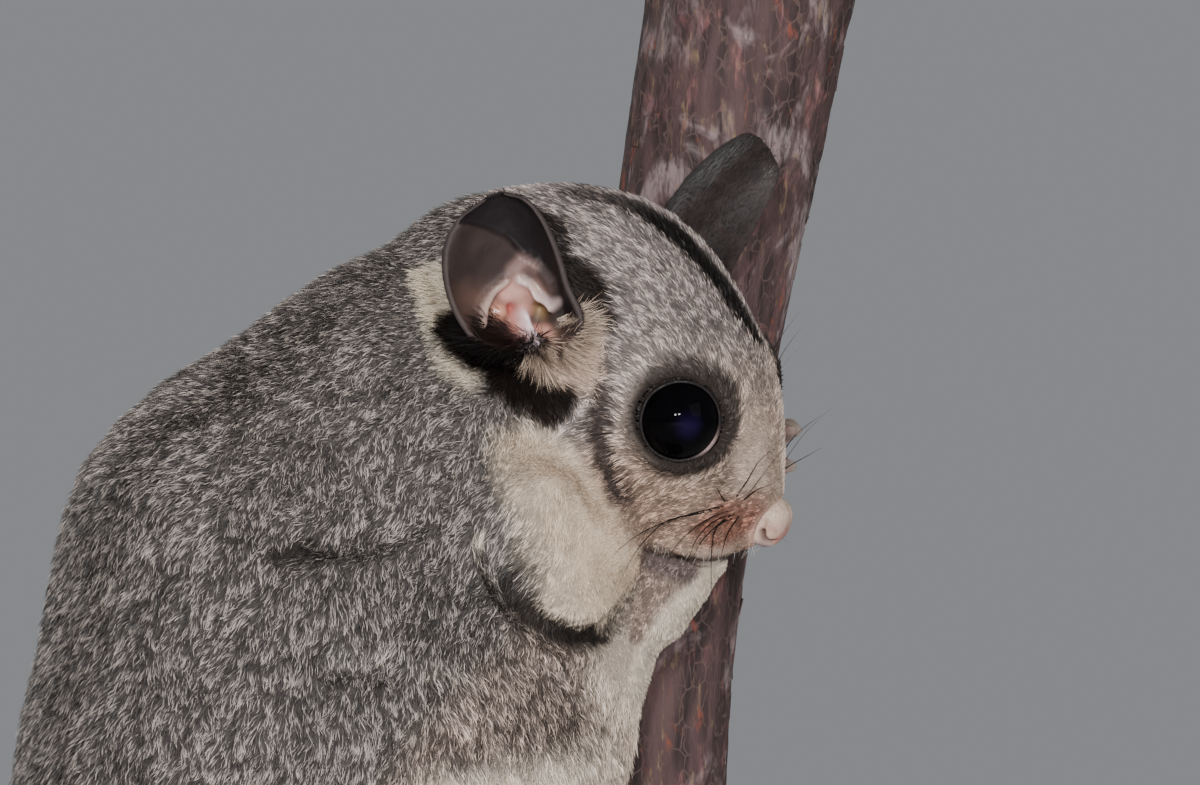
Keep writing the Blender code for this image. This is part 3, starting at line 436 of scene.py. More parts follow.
class Wire:
    """A node's output, so that the maths of nodes reads as sums."""

    def __init__(self, nodes, socket):
        self.nodes = nodes
        self.socket = socket

    def math(self, operation, *others, clamp=False):
        settings = {"operation": operation, "use_clamp": clamp}
        return self.nodes.add("ShaderNodeMath", settings, dict(enumerate((self, *others))))

    def __add__(self, other):
        return self.math("ADD", other)

    __radd__ = __add__

    def __mul__(self, other):
        return self.math("MULTIPLY", other)

    __rmul__ = __mul__

    def __sub__(self, other):
        return self.math("SUBTRACT", other)

    def __rsub__(self, other):
        return self * -1 + other

    def held(self):
        return self.math("ADD", 0.0, clamp=True)

    def between(self, low, high):
        """0 below the lower value and 1 above the higher one."""
        sockets = {"Value": self, "From Min": low, "From Max": high}
        return self.nodes.add("MapRange", {"interpolation_type": "SMOOTHSTEP"}, sockets)

    def blend(self, first, second):
        """The first colour where this is 0 and the second where it is 1."""
        return self.nodes.add("Mix", {"data_type": "RGBA"}, {0: self, 6: first, 7: second}, 2)


class Nodes:
    """A tree of nodes, and one way to add any of them."""

    family = "ShaderNode"

    def add(self, kind, settings=None, sockets=None, out=0):
        """A node of a kind, with its settings, then the values or wires of its sockets."""
        node = self.tree.nodes.new(kind if "Node" in kind else self.family + kind)
        for key, value in (settings or {}).items():
            setattr(node, key, value)
        for key, value in (sockets or {}).items():
            self.plug(node.inputs[key], value)
        return Wire(self, node.outputs[out])

    def plug(self, socket, value):
        if isinstance(value, Wire):
            self.tree.links.new(value.socket, socket)
        elif socket.type == "RGBA" and len(value) == 3:
            socket.default_value = (*value, 1.0)
        else:
            socket.default_value = value


class Finish(Nodes):
    """A material, built up from the shader's own values and a few nodes."""

    def __init__(self, name, **values):
        self.material = bpy.data.materials.new(name)
        self.material.use_nodes = True
        self.tree = self.material.node_tree
        self.shader = self.tree.nodes["Principled BSDF"]
        for key, value in values.items():
            self.shader.inputs[key.replace("_", " ").title().replace("Ior", "IOR")].default_value = value

    def give(self, **wires):
        """Joins wires to the shader's sockets."""
        for key, value in wires.items():
            self.plug(self.shader.inputs[key.replace("_", " ").title()], value)
        return self.material

    def place(self, stretch=(1, 1, 1)):
        """Object coordinates in millimetres, drawn out along an axis by a smaller number."""
        scale = tuple(s / MM for s in stretch)
        coordinates = self.add("TexCoord", out="Object")
        return self.add("Mapping", None, {"Vector": coordinates, "Scale": scale})

    def bent(self, stretch, amount):
        """Object coordinates pushed about by a soft noise, so that a pattern on them runs unevenly."""
        push = self.add("TexNoise", None, {"Vector": self.place(), "Scale": 0.35, "Detail": 2.0}, "Color")
        sockets = {0: self.place(stretch), 1: self.scaled(push, amount)}
        return self.add("VectorMath", {"operation": "ADD"}, sockets)

    def noise(self, size, detail=3.0, stretch=(1, 1, 1), roughness=0.55, distortion=0.0):
        sockets = {"Vector": self.place(stretch), "Scale": 1 / size, "Detail": detail}
        sockets.update({"Roughness": roughness, "Distortion": distortion})
        return self.add("TexNoise", None, sockets, "Fac")

    def painted(self):
        """The colour that the mesh carries at its points."""
        return self.add("Attribute", {"attribute_name": "shade"}, out="Color")

    def scaled(self, vector, amount, out="Vector"):
        return self.add("VectorMath", {"operation": "SCALE"}, {0: vector, "Scale": amount}, out)

    def bump(self, height, depth, strength=1.0):
        sockets = {"Height": height, "Distance": depth * MM, "Strength": strength}
        return self.add("Bump", None, sockets, "Normal")


class Growth(Nodes):
    """A tree of nodes that grows a shape over a mesh, from named values."""

    family = "GeometryNode"

    def __init__(self, name, kinds):
        self.tree = bpy.data.node_groups.new(name, "GeometryNodeTree")
        for given, kind in kinds.items():
            self.tree.interface.new_socket(given, in_out="INPUT", socket_type="NodeSocket" + kind)
        self.tree.interface.new_socket("Shape", in_out="OUTPUT", socket_type="NodeSocketGeometry")
        self.given = self.tree.nodes.new("NodeGroupInput").outputs

    def __getitem__(self, name):
        return Wire(self, self.given[name])

    def ending(self, shape, finish):
        """The tree, closed with its shape made real and given its finish."""
        real = self.add("RealizeInstances", None, {"Geometry": shape})
        dressed = self.add("SetMaterial", None, {"Geometry": real, "Material": finish})
        self.plug(self.tree.nodes.new("NodeGroupOutput").inputs["Shape"], dressed)
        return self.tree


def run_tree(obj, tree, values):
    """Makes an object into what a tree of nodes grows over it."""
    run = obj.modifiers.new("nodes", "NODES")
    run.node_group = tree
    for item in tree.interface.items_tree:
        if item.item_type == "SOCKET" and item.in_out == "INPUT" and item.name in values:
            run[item.identifier] = values[item.name]
    return applied(obj)


def dress(obj, finish, slot, *nodes):
    """Gives a piece its finish and its body, and hides the solids that it stands for. The slot is not used."""
    obj.data.materials.clear()
    obj.data.materials.append(finish)
    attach(obj, "root")
    if nodes:
        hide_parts(*nodes)
    return obj


# The skin: one closed surface under the whole coat, with values at each of its points


class Hide:
    """A mesh with arrays over its points, from which hair can grow."""

    def __init__(self, obj):
        self.obj = obj
        self.read()
        edges = np.empty(len(obj.data.edges) * 2, np.int32)
        obj.data.edges.foreach_get("vertices", edges)
        self.pairs = edges.reshape(-1, 2)
        self.fields = {}

    def read(self):
        self.points = points_of(self.obj.data)
        self.normals = normals_of(self.obj.data)

    def move(self, offsets):
        set_points(self.obj.data, self.points + offsets)
        self.read()

    def even(self, values, times, amount=0.5):
        return spread(values, self.pairs, times, amount)

    def bend_along(self, lie):
        """How fast the surface turns away along the hair."""
        a, b = self.pairs[:, 0], self.pairs[:, 1]
        step = self.points[b] - self.points[a]
        turn = self.normals[b] - self.normals[a]
        top = np.zeros(len(self.points))
        bottom = np.full(len(self.points), 1e-6)
        for end in (a, b):
            s = (step * lie[end]).sum(1)
            top += np.bincount(end, (turn * lie[end]).sum(1) * s, len(self.points))
            bottom += np.bincount(end, s * s, len(self.points))
        return self.even(top / bottom, 6)

    def unwrap(self):
        for other in bpy.context.selected_objects:
            other.select_set(False)
        bpy.context.view_layer.objects.active = self.obj
        self.obj.select_set(True)
        bpy.ops.object.mode_set(mode="EDIT")
        bpy.ops.mesh.select_all(action="SELECT")
        bpy.ops.uv.smart_project(angle_limit=math.radians(70), island_margin=0.002)
        bpy.ops.object.mode_set(mode="OBJECT")
        self.obj.select_set(False)
        layer = self.obj.data.uv_layers[0]
        layer.name = "OFBake"
        flat = np.empty(len(self.obj.data.loops) * 2, np.float32)
        layer.uv.foreach_get("vector", flat)
        self.uv = flat.reshape(-1, 2)
        self.triangles, self.loops = triangles_of(self.obj.data)
        self.uv_of_point = np.zeros((len(self.points), 2))
        self.uv_of_point[self.triangles.ravel()] = self.uv[self.loops.ravel()]

    def seeds(self, density, rng):
        """Places for hairs: so many to a square millimetre, as a function's value at each point says."""
        corners = self.points[self.triangles]
        edge, other = corners[:, 1] - corners[:, 0], corners[:, 2] - corners[:, 0]
        area = np.linalg.norm(np.cross(edge, other), axis=1) / 2
        wanted = area * density[self.triangles].mean(1)
        count = int(wanted.sum())
        places = np.searchsorted(np.cumsum(wanted), rng.random(count) * wanted.sum())
        face = np.minimum(places, len(self.triangles) - 1)
        u, v = rng.random((2, count))
        over = u + v > 1
        u[over], v[over] = 1 - u[over], 1 - v[over]
        return face, np.stack([1 - u - v, u, v], axis=1)

    def at(self, seeds, values):
        face, share = seeds
        picked = values[self.triangles[face]]
        if picked.ndim == 2:
            return (picked * share).sum(1)
        return (picked * share[..., None]).sum(1)

    def uv_at(self, seeds):
        face, share = seeds
        return (self.uv[self.loops[face]] * share[..., None]).sum(1)


def keep_largest(obj):
    """Only the largest shell of a mesh stays."""
    mesh = obj.data
    edges = np.empty(len(mesh.edges) * 2, np.int32)
    mesh.edges.foreach_get("vertices", edges)
    edges = edges.reshape(-1, 2)
    label = np.arange(len(mesh.vertices))
    while True:
        low = np.minimum(label[edges[:, 0]], label[edges[:, 1]])
        new = label.copy()
        np.minimum.at(new, edges[:, 0], low)
        np.minimum.at(new, edges[:, 1], low)
        new = new[new]
        if (new == label).all():
            break
        label = new
    values, counts = np.unique(label, return_counts=True)
    stray = np.flatnonzero(label != values[counts.argmax()])
    with opened(mesh) as bm:
        bmesh.ops.delete(bm, geom=[bm.verts[i] for i in stray], context="VERTS")


def tail_line(count=129):
    """Points along the tail, its reach there, and the axes across it."""
    rows = curve(TAIL_STATIONS, count)
    path, reach = rows[:, :3], rows[:, 3]
    along = unit(np.gradient(path, axis=0))
    side = np.zeros_like(path)
    across = np.array([1.0, 0.0, 0.0])
    for i, a in enumerate(along):
        across = across - a * (across @ a)
        across /= np.linalg.norm(across)
        side[i] = across
    return path, reach, side, np.cross(along, side)


def tube_mesh(name, path, radii, sides):
    """A closed tube along points."""
    path = np.asarray(path, float)
    along = unit(np.gradient(path, axis=0))
    across = np.array([0.31, 0.87, 0.38])
    rings = []
    turn = np.linspace(0, 2 * math.pi, sides, endpoint=False)
    for centre, a, radius in zip(path, along, radii):
        across = across - a * (across @ a)
        across /= np.linalg.norm(across)
        other = np.cross(a, across)
        rings.append(centre + radius * (np.cos(turn)[:, None] * across + np.sin(turn)[:, None] * other))
    return mesh_object(name, np.vstack([*rings, path[:1], path[-1:]]), tube_faces(len(path), sides))


def finer(obj, wanted):
    """Splits the faces whose points are wanted, as a function of their places says."""
    chosen = wanted(points_of(obj.data))
    with opened(obj.data) as bm:
        edges = [e for e in bm.edges if chosen[e.verts[0].index] and chosen[e.verts[1].index]]
        bmesh.ops.subdivide_edges(bm, edges=edges, cuts=1, use_grid_fill=True)
        bmesh.ops.triangulate(bm, faces=[f for f in bm.faces if len(f.verts) > 4])
    obj.data.shade_smooth()


def about_eye(head_points):
    """Distance from the nearer eye's centre, the cosine of the angle from where it looks, and the offset."""
    mirrored = head_points * (1, 0, 1) + np.abs(head_points[:, 1:2]) * (0, 1, 0)
    from_centre = mirrored - EYE_CENTRE
    distance = np.linalg.norm(from_centre, axis=1)
    return distance, (from_centre @ EYE_AXIS) / np.maximum(distance, 1e-6), from_centre


def make_skin():
    """The flesh solids and the tail's core melted into one surface, then set back by the coat's depth."""
    path, reach, _, _ = tail_line()
    core = tube_mesh("core", path[:122], np.maximum(reach[:122] * 0.42, 1.6), 16)
    flesh = copy_of_nodes("skin", FLESH, proud=0.22, others=[core])
    remeshed(flesh, SKIN_VOXEL, 7)
    keep_largest(flesh)
    muzzle = np.array([15.0, 0.0, -8.0])

    def near_face(points):
        head = in_head(points)
        from_eye = about_eye(head)[0]
        return (np.linalg.norm((head - muzzle) / (12.0, 12.0, 9.5), axis=1) < 1) | (from_eye < 7.5)

    finer(flesh, near_face)
    skin = Hide(flesh)
    tree = KDTree(sum(len(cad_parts[n].data.vertices) for n in FLESH))
    owner = []
    for index, node in enumerate(FLESH):
        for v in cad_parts[node].data.vertices:
            tree.insert(v.co, len(owner))
            owner.append(index)
    tree.balance()
    nearest = np.array([owner[tree.find(v.co)[1]] for v in skin.obj.data.vertices])
    from_tail, tail_place = distance_to_line(skin.points, path)
    on_tail = (skin.points[:, 2] < -88) & (from_tail < reach.max())
    nearest[on_tail] = len(FLESH)
    for index, node in enumerate(MARKED_PARTS):
        skin.fields[node] = skin.even((nearest == index).astype(float), 14)
    shape_face(skin)
    set_back(skin)
    skin.fields["lie"] = hair_lie(skin)
    skin.fields["bend"] = skin.bend_along(skin.fields["lie"])
    skin.unwrap()
    return skin


def shape_face(skin):
    """Clears the eyes, sinks the mouth's crease and the folds, and swells the cheek's ruff."""
    head = in_head(skin.points)
    offsets = np.zeros_like(skin.points)
    distance, facing, from_centre = about_eye(head)
    side = np.sign(head[:, 1:2])
    out = unit(from_centre) * np.hstack([np.ones_like(side), side, np.ones_like(side)])
    in_opening = smoothstep(0.46, 0.60, facing)
    wanted = np.where(in_opening > 0.5, EYE_RADIUS - 0.5, EYE_RADIUS + 0.25)
    near = distance < EYE_RADIUS + 1.6
    behind = facing < -0.2
    shift = np.where(near & ~behind, wanted - distance, 0.0)
    shift = np.where(in_opening > 0.5, shift, np.maximum(shift, 0.0))
    offsets += (out * shift[:, None]) @ HEAD_AXES.T
    mouth, along, above = about_mouth(skin.points)
    crease = np.exp(-((mouth / 0.4) ** 2)) * smoothstep(1.0, 0.85, along)
    lip = np.exp(-(((mouth - 0.9) / 0.55) ** 2)) * above
    jaw = smoothstep(3.4, 0.6, mouth) * ~above * smoothstep(1.0, 0.7, along)
    by_mouth = smoothstep(4.0, 8.0, head[:, 0])
    offsets += skin.normals * ((lip * 0.2 - crease * 0.6 - jaw * 0.5) * by_mouth)[:, None]
    skin.move(offsets)
    twins = right_twins(skin.points)
    flat = side_view(twins)
    facing = smoothstep(0.0, -3.0, twins[:, 1])
    swell = patch(flat, RUFF, 2.2, 5.4) * 1.7 - patch(flat, RUFF_EDGE, 0.2, 1.9) * 1.7
    swell *= facing
    throat = patch(side_view(skin.points), THROAT_SWELL, 1.0, 4.5) * 1.7
    swell += throat * smoothstep(12.0, 6.0, skin.points[:, 1])
    behind_eye = from_head([(3.8, -13.4, 2.2), (5.0, -13.3, -1.0), (7.0, -12.9, -4.2), (9.2, -12.1, -7.6)])
    swell -= patch(twins, behind_eye, 0.0, 1.5) * 0.4
    for route, depth, width in FUR_FOLDS:
        swell -= patch(skin.points, route, 0.0, width) * depth
    skin.move(skin.normals * swell[:, None])


MOUTH = spots(
    (757, 551), (748, 554), (734, 556), (718, 558), (700, 559),
    (682, 557), (664, 554), (650, 550), (640, 545),
)
RUFF = spots((548, 505), (575, 540), (600, 565), (588, 588))
RUFF_EDGE = spots(
    (498, 540), (512, 574), (530, 602), (552, 622), (576, 634), (602, 631), (624, 613), (642, 590),
)
THROAT_VELVET = spots((720, 575), (690, 585), (665, 610), (650, 650))
# Folds in the fur, sunk into the skin and darkened partly for the dark roots in the parting and partly as
# painted shade: a route, its depth and its width
FUR_FOLDS = (
    (((-30.6, -23.5, -15.3), (-25.3, -23.4, -14.2), (-20.5, -22.5, -13.4)), 1.5, 2.4),
    (((-26.0, -25.9, -26.2), (-19.8, -24.0, -26.6)), 1.3, 2.0),
    (((-53.0, -9.0, -9.5), (-46.6, -8.5, -9.2)), 0.9, 1.9),
)


def velvet_share(points):
    """Where the short smooth coat of the cheek and throat grows."""
    twins = right_twins(points)
    flat = side_view(twins)
    cheek = patch(flat, RUFF, 4.5, 7.5) * smoothstep(-1.0, -5.0, twins[:, 1])
    return np.maximum(cheek, patch(flat, THROAT_VELVET, 4.0, 6.5) * smoothstep(16.0, 10.0, points[:, 1]))


def set_back(skin):
    """Moves the surface in by the depth of the coat, least at the face, the wrists and the tail's core."""
    head = in_head(skin.points)
    f = skin.fields
    muzzle = smoothstep(9.0, 20.0, head[:, 0] - 0.3 * head[:, 2] - 2.0)
    depth = np.full(len(skin.points), 1.3)
    depth = depth * (1 - f["head"]) + f["head"] * (0.75 - 0.45 * muzzle)
    for node in ("membrane_right", "membrane_left"):
        depth = depth * (1 - f[node]) + 0.7 * f[node]
    for node, joints in LIMBS.items():
        wrist = np.linalg.norm(skin.points - joints[-1], axis=1)
        depth *= 1 - (1 - smoothstep(3.0, 13.0, wrist)) * 0.65
    depth = depth * (1 - f["tail"]) + 0.4 * f["tail"]
    distance, facing, _ = about_eye(head)
    lids = 1 - smoothstep(EYE_RADIUS + 0.6, EYE_RADIUS + 3.0, distance)
    depth = depth * (1 - lids) + 0.05 * lids
    velvet = velvet_share(skin.points)
    depth = depth * (1 - velvet) + 0.6 * velvet
    lips = 1 - smoothstep(0.4, 2.4, about_mouth(skin.points)[0])
    depth = depth * (1 - lips) + 0.2 * lips
    nose = 1 - smoothstep(3.0, 5.0, np.linalg.norm(head - NOSE_CENTRE, axis=1))
    depth = depth * (1 - nose) + 0.12 * nose
    depth = skin.even(depth, 6)
    skin.fields["depth"] = depth
    before = skin.points.copy()
    skin.move(-skin.normals * depth[:, None])
    offset = skin.even(skin.points - before, 4)
    set_points(skin.obj.data, before + offset)
    skin.read()


def way_along(line, points):
    """The way that a line runs where it is nearest to each point."""
    last = len(line) - 1
    place = distance_to_line(points, line)[1]
    return unit(np.gradient(line, axis=0))[np.clip((place * last).astype(int), 0, last)]


def hair_lie(skin):
    """The way that the hair lies at each point: back over the head, down the body, out along the limbs."""
    head = in_head(skin.points)
    f = skin.fields
    side = np.sign(head[:, 1])
    low = smoothstep(2.0, -8.0, head[:, 2])
    front = smoothstep(6.0, 16.0, head[:, 0])
    down = -0.1 - 0.75 * low * (1 - 0.5 * front)
    on_head = np.stack([-np.ones_like(side), side * (0.15 + 0.35 * low), down], axis=1)
    from_eye, _, around = about_eye(head)
    ring = (1 - smoothstep(EYE_RADIUS + 0.5, EYE_RADIUS + 4.0, from_eye))[:, None]
    around = unit(around) * np.stack([np.ones_like(side), side, np.ones_like(side)], axis=1)
    on_head = unit(on_head) * (1 - 0.55 * ring) + around * ring * 0.75
    lie = (on_head @ HEAD_AXES.T) * (f["head"] + 0.3 * f["neck"])[:, None]
    lie += way_along(curve(BODY_AXIS, 60), skin.points) * (f["torso"] + f["neck"] * 0.9)[:, None]
    for node, joints in LIMBS.items():
        lie += way_along(curve(joints, 20), skin.points) * f[node][:, None]
    for node in ("membrane_right", "membrane_left"):
        lie += np.array([0.0, 0.0, -1.0]) * f[node][:, None]
    lie += way_along(tail_line()[0], skin.points) * f["tail"][:, None]
    lie = unit(lie)
    for place, *_ in EARS.values():
        away = skin.points - place - (-1.5, 0.0, -0.5)
        near = smoothstep(9.5, 5.0, np.linalg.norm(away, axis=1))[:, None]
        lie = lie * (1 - near) + unit(away) * near
    lie = skin.even(lie, 10)
    lie -= skin.normals * (lie * skin.normals).sum(1)[:, None]
    return unit(lie)


# Markings, as colours at points: the same ones for the skin and for the hair that grows on it

GREY = (0.159, 0.146, 0.139)
# A lighter grey painted on the upper body, as painted light where the top is lit
TOP_GREY_PAINTED_LIGHT = (0.215, 0.197, 0.186)
BACK_STRIPE = (0.125, 0.113, 0.107)
HEAD_STRIPE = (0.014, 0.011, 0.010)
CROWN = (0.28, 0.248, 0.234)
FACE = (0.42, 0.355, 0.31)
UNDER_EYE = (0.31, 0.235, 0.195)
CHEEK = (0.60, 0.525, 0.445)
EAR_CREAM = (0.66, 0.60, 0.515)
PALE = (0.66, 0.61, 0.54)
# The throat's grey-beige fur, darkened with painted shadow under the head
SHADOWED_THROAT = (0.3, 0.245, 0.215)
BLACK = (0.024, 0.018, 0.016)
RED_BROWN = (0.225, 0.125, 0.098)
LIP = (0.34, 0.27, 0.23)
TAIL_DARK = (0.03, 0.027, 0.027)

STRIPE_ON_HEAD = (
    (12.9, 1.2, 8.4), (10.2, 0.9, 10.1), (7.3, 0.4, 11.7),
    (3.4, -0.1, 13.5), (-3.3, -0.2, 14.6), (-10.0, -0.3, 13.3),
)
# Patches: a colour, its route in the side view, its inner and outer reach, and how much of it shows

CHEEK_MARKS = (
    (CHEEK, spots((535, 455), (560, 500), (588, 545), (602, 566), (586, 588)), 2.6, 5.6, 0.97),
    ((0.36, 0.31, 0.265), spots((505, 440), (520, 490), (540, 545), (560, 590)), 0.6, 3.2, 0.6),
)
# Painted shadow under the cheek's ruff, along the crease below it
RUFF_PAINTED_SHADOW = (
    ((0.035, 0.03, 0.028),
     spots((510, 572), (528, 600), (550, 621), (576, 633), (602, 630), (624, 613), (640, 594)),
     0.5, 1.9, 0.95),
)
# Painted shade along the groove behind the eye
BEHIND_EYE_PAINTED_SHADE = (((0.075, 0.062, 0.058), spots((611, 395), (609, 430), (612, 460), (622, 490)), 0.5, 1.9, 0.95),)
# The throat darkened with painted shadow under the head, then its pale edge in its own colour
THROAT_MARKS = (
    (SHADOWED_THROAT, spots((668, 578), (690, 576), (668, 600), (655, 622)), 2.2, 3.8, 0.95),
    (PALE, spots((730, 563), (712, 577), (690, 600), (668, 626), (652, 652), (642, 690), (640, 720)),
     0.6, 2.2, 0.8),
)
# Painted shadow on the chin below the mouth
JAW_PAINTED_SHADOW = (((0.12, 0.098, 0.1), spots((652, 556), (668, 566), (686, 570)), 0.4, 2.0, 0.75),)
EYE_SHADE = (((0.15, 0.115, 0.095), spots((704, 450), (716, 462), (722, 474)), 0.6, 2.6, 0.55),)
FLANK_MARK = ((PALE, spots((440, 800), (540, 785), (620, 765)), 0.5, 6.0, 0.8),)
EAR_MARKS = (
    (EAR_CREAM, spots((452, 335), (462, 360), (474, 372)), 0.6, 2.6, 0.75),
    (EAR_CREAM, spots((438, 284), (446, 304), (455, 324)), 1.6, 2.6, 1.0),
    (BLACK, spots((604, 336), (606, 362), (600, 384)), 0.2, 1.3, 0.4),
    (BLACK, spots((545, 234), (562, 258), (580, 284), (592, 304), (596, 320)), 1.7, 2.9, 0.97),
    (BLACK, spots((460, 332), (484, 350), (502, 368), (522, 386), (550, 399)), 1.6, 2.7, 1.0),
    ((0.45, 0.365, 0.31), spots((544, 350), (562, 358), (582, 372)), 1.2, 3.2, 0.9),
)
THROAT_SWELL = spots((704, 572), (684, 592), (666, 616))


def held(shade, top):
    """Colours held between almost black and a highest value, with their hue kept."""
    highest = np.maximum(shade.max(axis=-1, keepdims=True), 1e-6)
    return np.maximum(shade * np.minimum(1.0, top / highest), 0.002)


def plain(colour, count):
    """One colour for each of so many points."""
    return np.tile(np.array(colour), (count, 1))


def mixed(base, colour, amount):
    return base + (np.array(colour) - base) * amount[:, None]


def marked(shade, points, marks, share):
    """The colours with a table's patches laid over them."""
    for colour, route, inner, outer, amount in marks:
        shade = mixed(shade, colour, patch(points, route, inner, outer) * share * amount)
    return shade


def markings(points, f):
    """The colour of the coat at each point, from the values that the skin has there."""
    head = in_head(points)
    on_head = f["head"]
    shade = plain(GREY, len(points))
    uneven = layered(points, 9.0, 3)
    back, belly = (distance_to_line(points, line)[0] for line in (BACK_LINE, BELLY_LINE))
    # The upper body is painted lighter and its back stripe weaker there, as painted light on the top
    painted_light_on_top = smoothstep(-16.0, -2.0, points[:, 2])
    shade = mixed(shade, TOP_GREY_PAINTED_LIGHT, painted_light_on_top)
    stripe = 1 - smoothstep(1.4, 5.2, back + uneven * 0.8)
    shade = mixed(shade, BACK_STRIPE, stripe * (0.8 - 0.45 * painted_light_on_top))
    under = smoothstep(0.70, 0.82, back / (back + belly) + uneven * 0.02)
    shade = mixed(shade, PALE, under * (1 - on_head))
    inward = unit(np.array([0.62, 0.35, -0.7]))
    inner = smoothstep(0.1, 0.7, (f["normal"] * inward).sum(1) + uneven * 0.15)
    for node in ("arm_right", "leg_right", "arm_left", "leg_left"):
        shade = mixed(shade, PALE, inner * np.clip(f[node] * 1.6, 0, 1))
    for node in ("membrane_right", "membrane_left"):
        shade = mixed(shade, (0.09, 0.08, 0.076), f[node] * 0.9)
    front = smoothstep(2.0, 12.0, head[:, 0])
    face = mixed(plain(CROWN, len(points)), FACE, front * smoothstep(7.0, -1.0, head[:, 2] - 3))
    shade = shade * (1 - on_head[:, None]) + face * on_head[:, None]
    m = head * (1, 0, 1) - np.abs(head[:, 1:2]) * (0, 1, 0)
    neck_zone = np.clip(on_head + f["neck"] + 0.6 * f["torso"], 0, 1)
    wobble = layered(points, 4.0, 8)[:, None] * 0.5
    low = smoothstep(-2.0, -6.5, m[:, 2]) * smoothstep(2.0, 8.0, m[:, 0]) * on_head
    shade = mixed(shade, UNDER_EYE, low * 0.85)
    # The throat under the head, darkened with painted shadow
    throat = smoothstep(-13.2, -15.0, m[:, 2] + 0.15 * m[:, 0]) * smoothstep(4.0, 9.0, m[:, 0]) * neck_zone
    shade = mixed(shade, SHADOWED_THROAT, throat * 0.9)
    twins = right_twins(points)
    flat = side_view(twins) + wobble
    right = smoothstep(1.0, -3.0, twins[:, 1])
    near_throat = smoothstep(24.0, 14.0, np.linalg.norm(twins - (6.0, 0.0, -22.0), axis=1))
    below = smoothstep(-4.0, -6.5, twins[:, 2] + 0.1 * twins[:, 0] + 9.5) * near_throat
    shade = marked(shade, flat, CHEEK_MARKS, right)
    # Painted shadow under the ruff
    shade = marked(shade, side_view(twins), RUFF_PAINTED_SHADOW, right)
    # Painted shade in the groove behind the eye
    shade = marked(shade, flat, BEHIND_EYE_PAINTED_SHADE, right)
    shade = marked(shade, side_view(twins), THROAT_MARKS, below)
    shade = marked(shade, side_view(twins), JAW_PAINTED_SHADOW, right)
    shade = marked(shade, flat, EYE_SHADE, right)
    shade = marked(shade, side_view(points), FLANK_MARK, smoothstep(4.0, -6.0, points[:, 1]))
    # The folds darkened, partly for the dark roots in the parting and partly as painted shade in the fold
    for route, _, width in FUR_FOLDS:
        shade = mixed(shade, (0.04, 0.035, 0.033), patch(points, route, 0.2, width * 0.95) * 0.92)
    left = head[:, 1] > 0
    shift = np.array(EARS["ear_right"][0]) - right_twins(np.array([EARS["ear_left"][0]]))[0]
    twins[left] += shift
    near_ear = np.linalg.norm(twins - EARS["ear_right"][0], axis=1) < 19
    flat = side_view(twins) + layered(points, 2.2, 15)[:, None] * 0.4
    right = smoothstep(-3.0, -7.0, twins[:, 1]) * near_ear
    shade = marked(shade, flat, EAR_MARKS, right)
    thick = 0.55 + 0.45 * smoothstep(14.0, 8.0, head[:, 0])
    from_stripe, _ = distance_to_line(head + wobble * 0.9, STRIPE_ON_HEAD)
    stripe = 1 - smoothstep(1.2 * thick, 2.7 * thick, from_stripe)
    stripe *= 0.5 + 0.5 * smoothstep(-9.0, 2.0, head[:, 0])
    shade = mixed(shade, HEAD_STRIPE, np.clip(stripe * 1.15, 0, 0.97) * on_head)
    from_eye, _, around = about_eye(head)
    way = unit(around)
    wider = 0.9 * np.clip(way[:, 0], 0, 1) + 0.5 * np.clip(way[:, 2], 0, 1)
    ring = 1 - smoothstep(5.0 + wider * 0.5, 5.9 + wider * 1.5, from_eye)
    shade = mixed(shade, (0.044, 0.036, 0.033), ring * 0.95)
    pad = patch(m + wobble * 1.6, ((19.6, -5.0, -6.2), (18.6, -5.6, -8.2), (21.2, -3.4, -5.2)), 0.9, 3.2)
    shade = mixed(shade, RED_BROWN, pad * (0.75 + 0.2 * layered(points, 0.8, 19)))
    mouth, along, above = about_mouth(points)
    mouth = mouth + (1 - smoothstep(4.0, 8.0, head[:, 0])) * 9
    shade = mixed(shade, LIP, (1 - smoothstep(0.5, 1.5, mouth)) * above * 0.7)
    # Painted shade along the mouth's crease, where the lips meet
    crease = (1 - smoothstep(0.1, 0.42, mouth)) * smoothstep(1.0, 0.9, along)
    shade = mixed(shade, (0.03, 0.021, 0.02), crease * 0.85)
    from_nose = np.linalg.norm((head - NOSE_CENTRE + (0.8, 0.0, 0.6)) * (0.8, 1, 1), axis=1)
    bare = 1 - smoothstep(2.9, 4.0, from_nose)
    shade = mixed(shade, (0.50, 0.365, 0.315), bare * 0.9)
    along = distance_to_line(points, np.array(TAIL_STATIONS)[:, :3])[1]
    shade = mixed(shade, TAIL_DARK, smoothstep(0.25, 0.8, along) * f["tail"])
    return held(2.1 * shade**1.45, PALEST_SKIN)


def paint_skin(skin):
    skin.fields["normal"] = skin.normals
    shade = markings(skin.points, skin.fields)
    skin.fields["shade"] = shade
    paint(skin.obj.data, shade * SKIN_GAIN)


# Hair: thin blades that overlap and lie along the body, each a patch of the skin's own unwrap

BLADE_PATCH = np.array([(0, 0), (1, 0), (0, 0.5), (1, 0.5), (0.5, 1)]) * 0.003
BLADE_FACES = np.array([(0, 1, 3), (0, 3, 2), (2, 3, 4)])
LONG_PATCH = np.array([(0, 0), (1, 0), (0, 0.33), (1, 0.33), (0, 0.66), (1, 0.66), (0.5, 1)]) * 0.003
LONG_FACES = np.array([(0, 1, 3), (0, 3, 2), (2, 3, 5), (2, 5, 4), (4, 5, 6)])


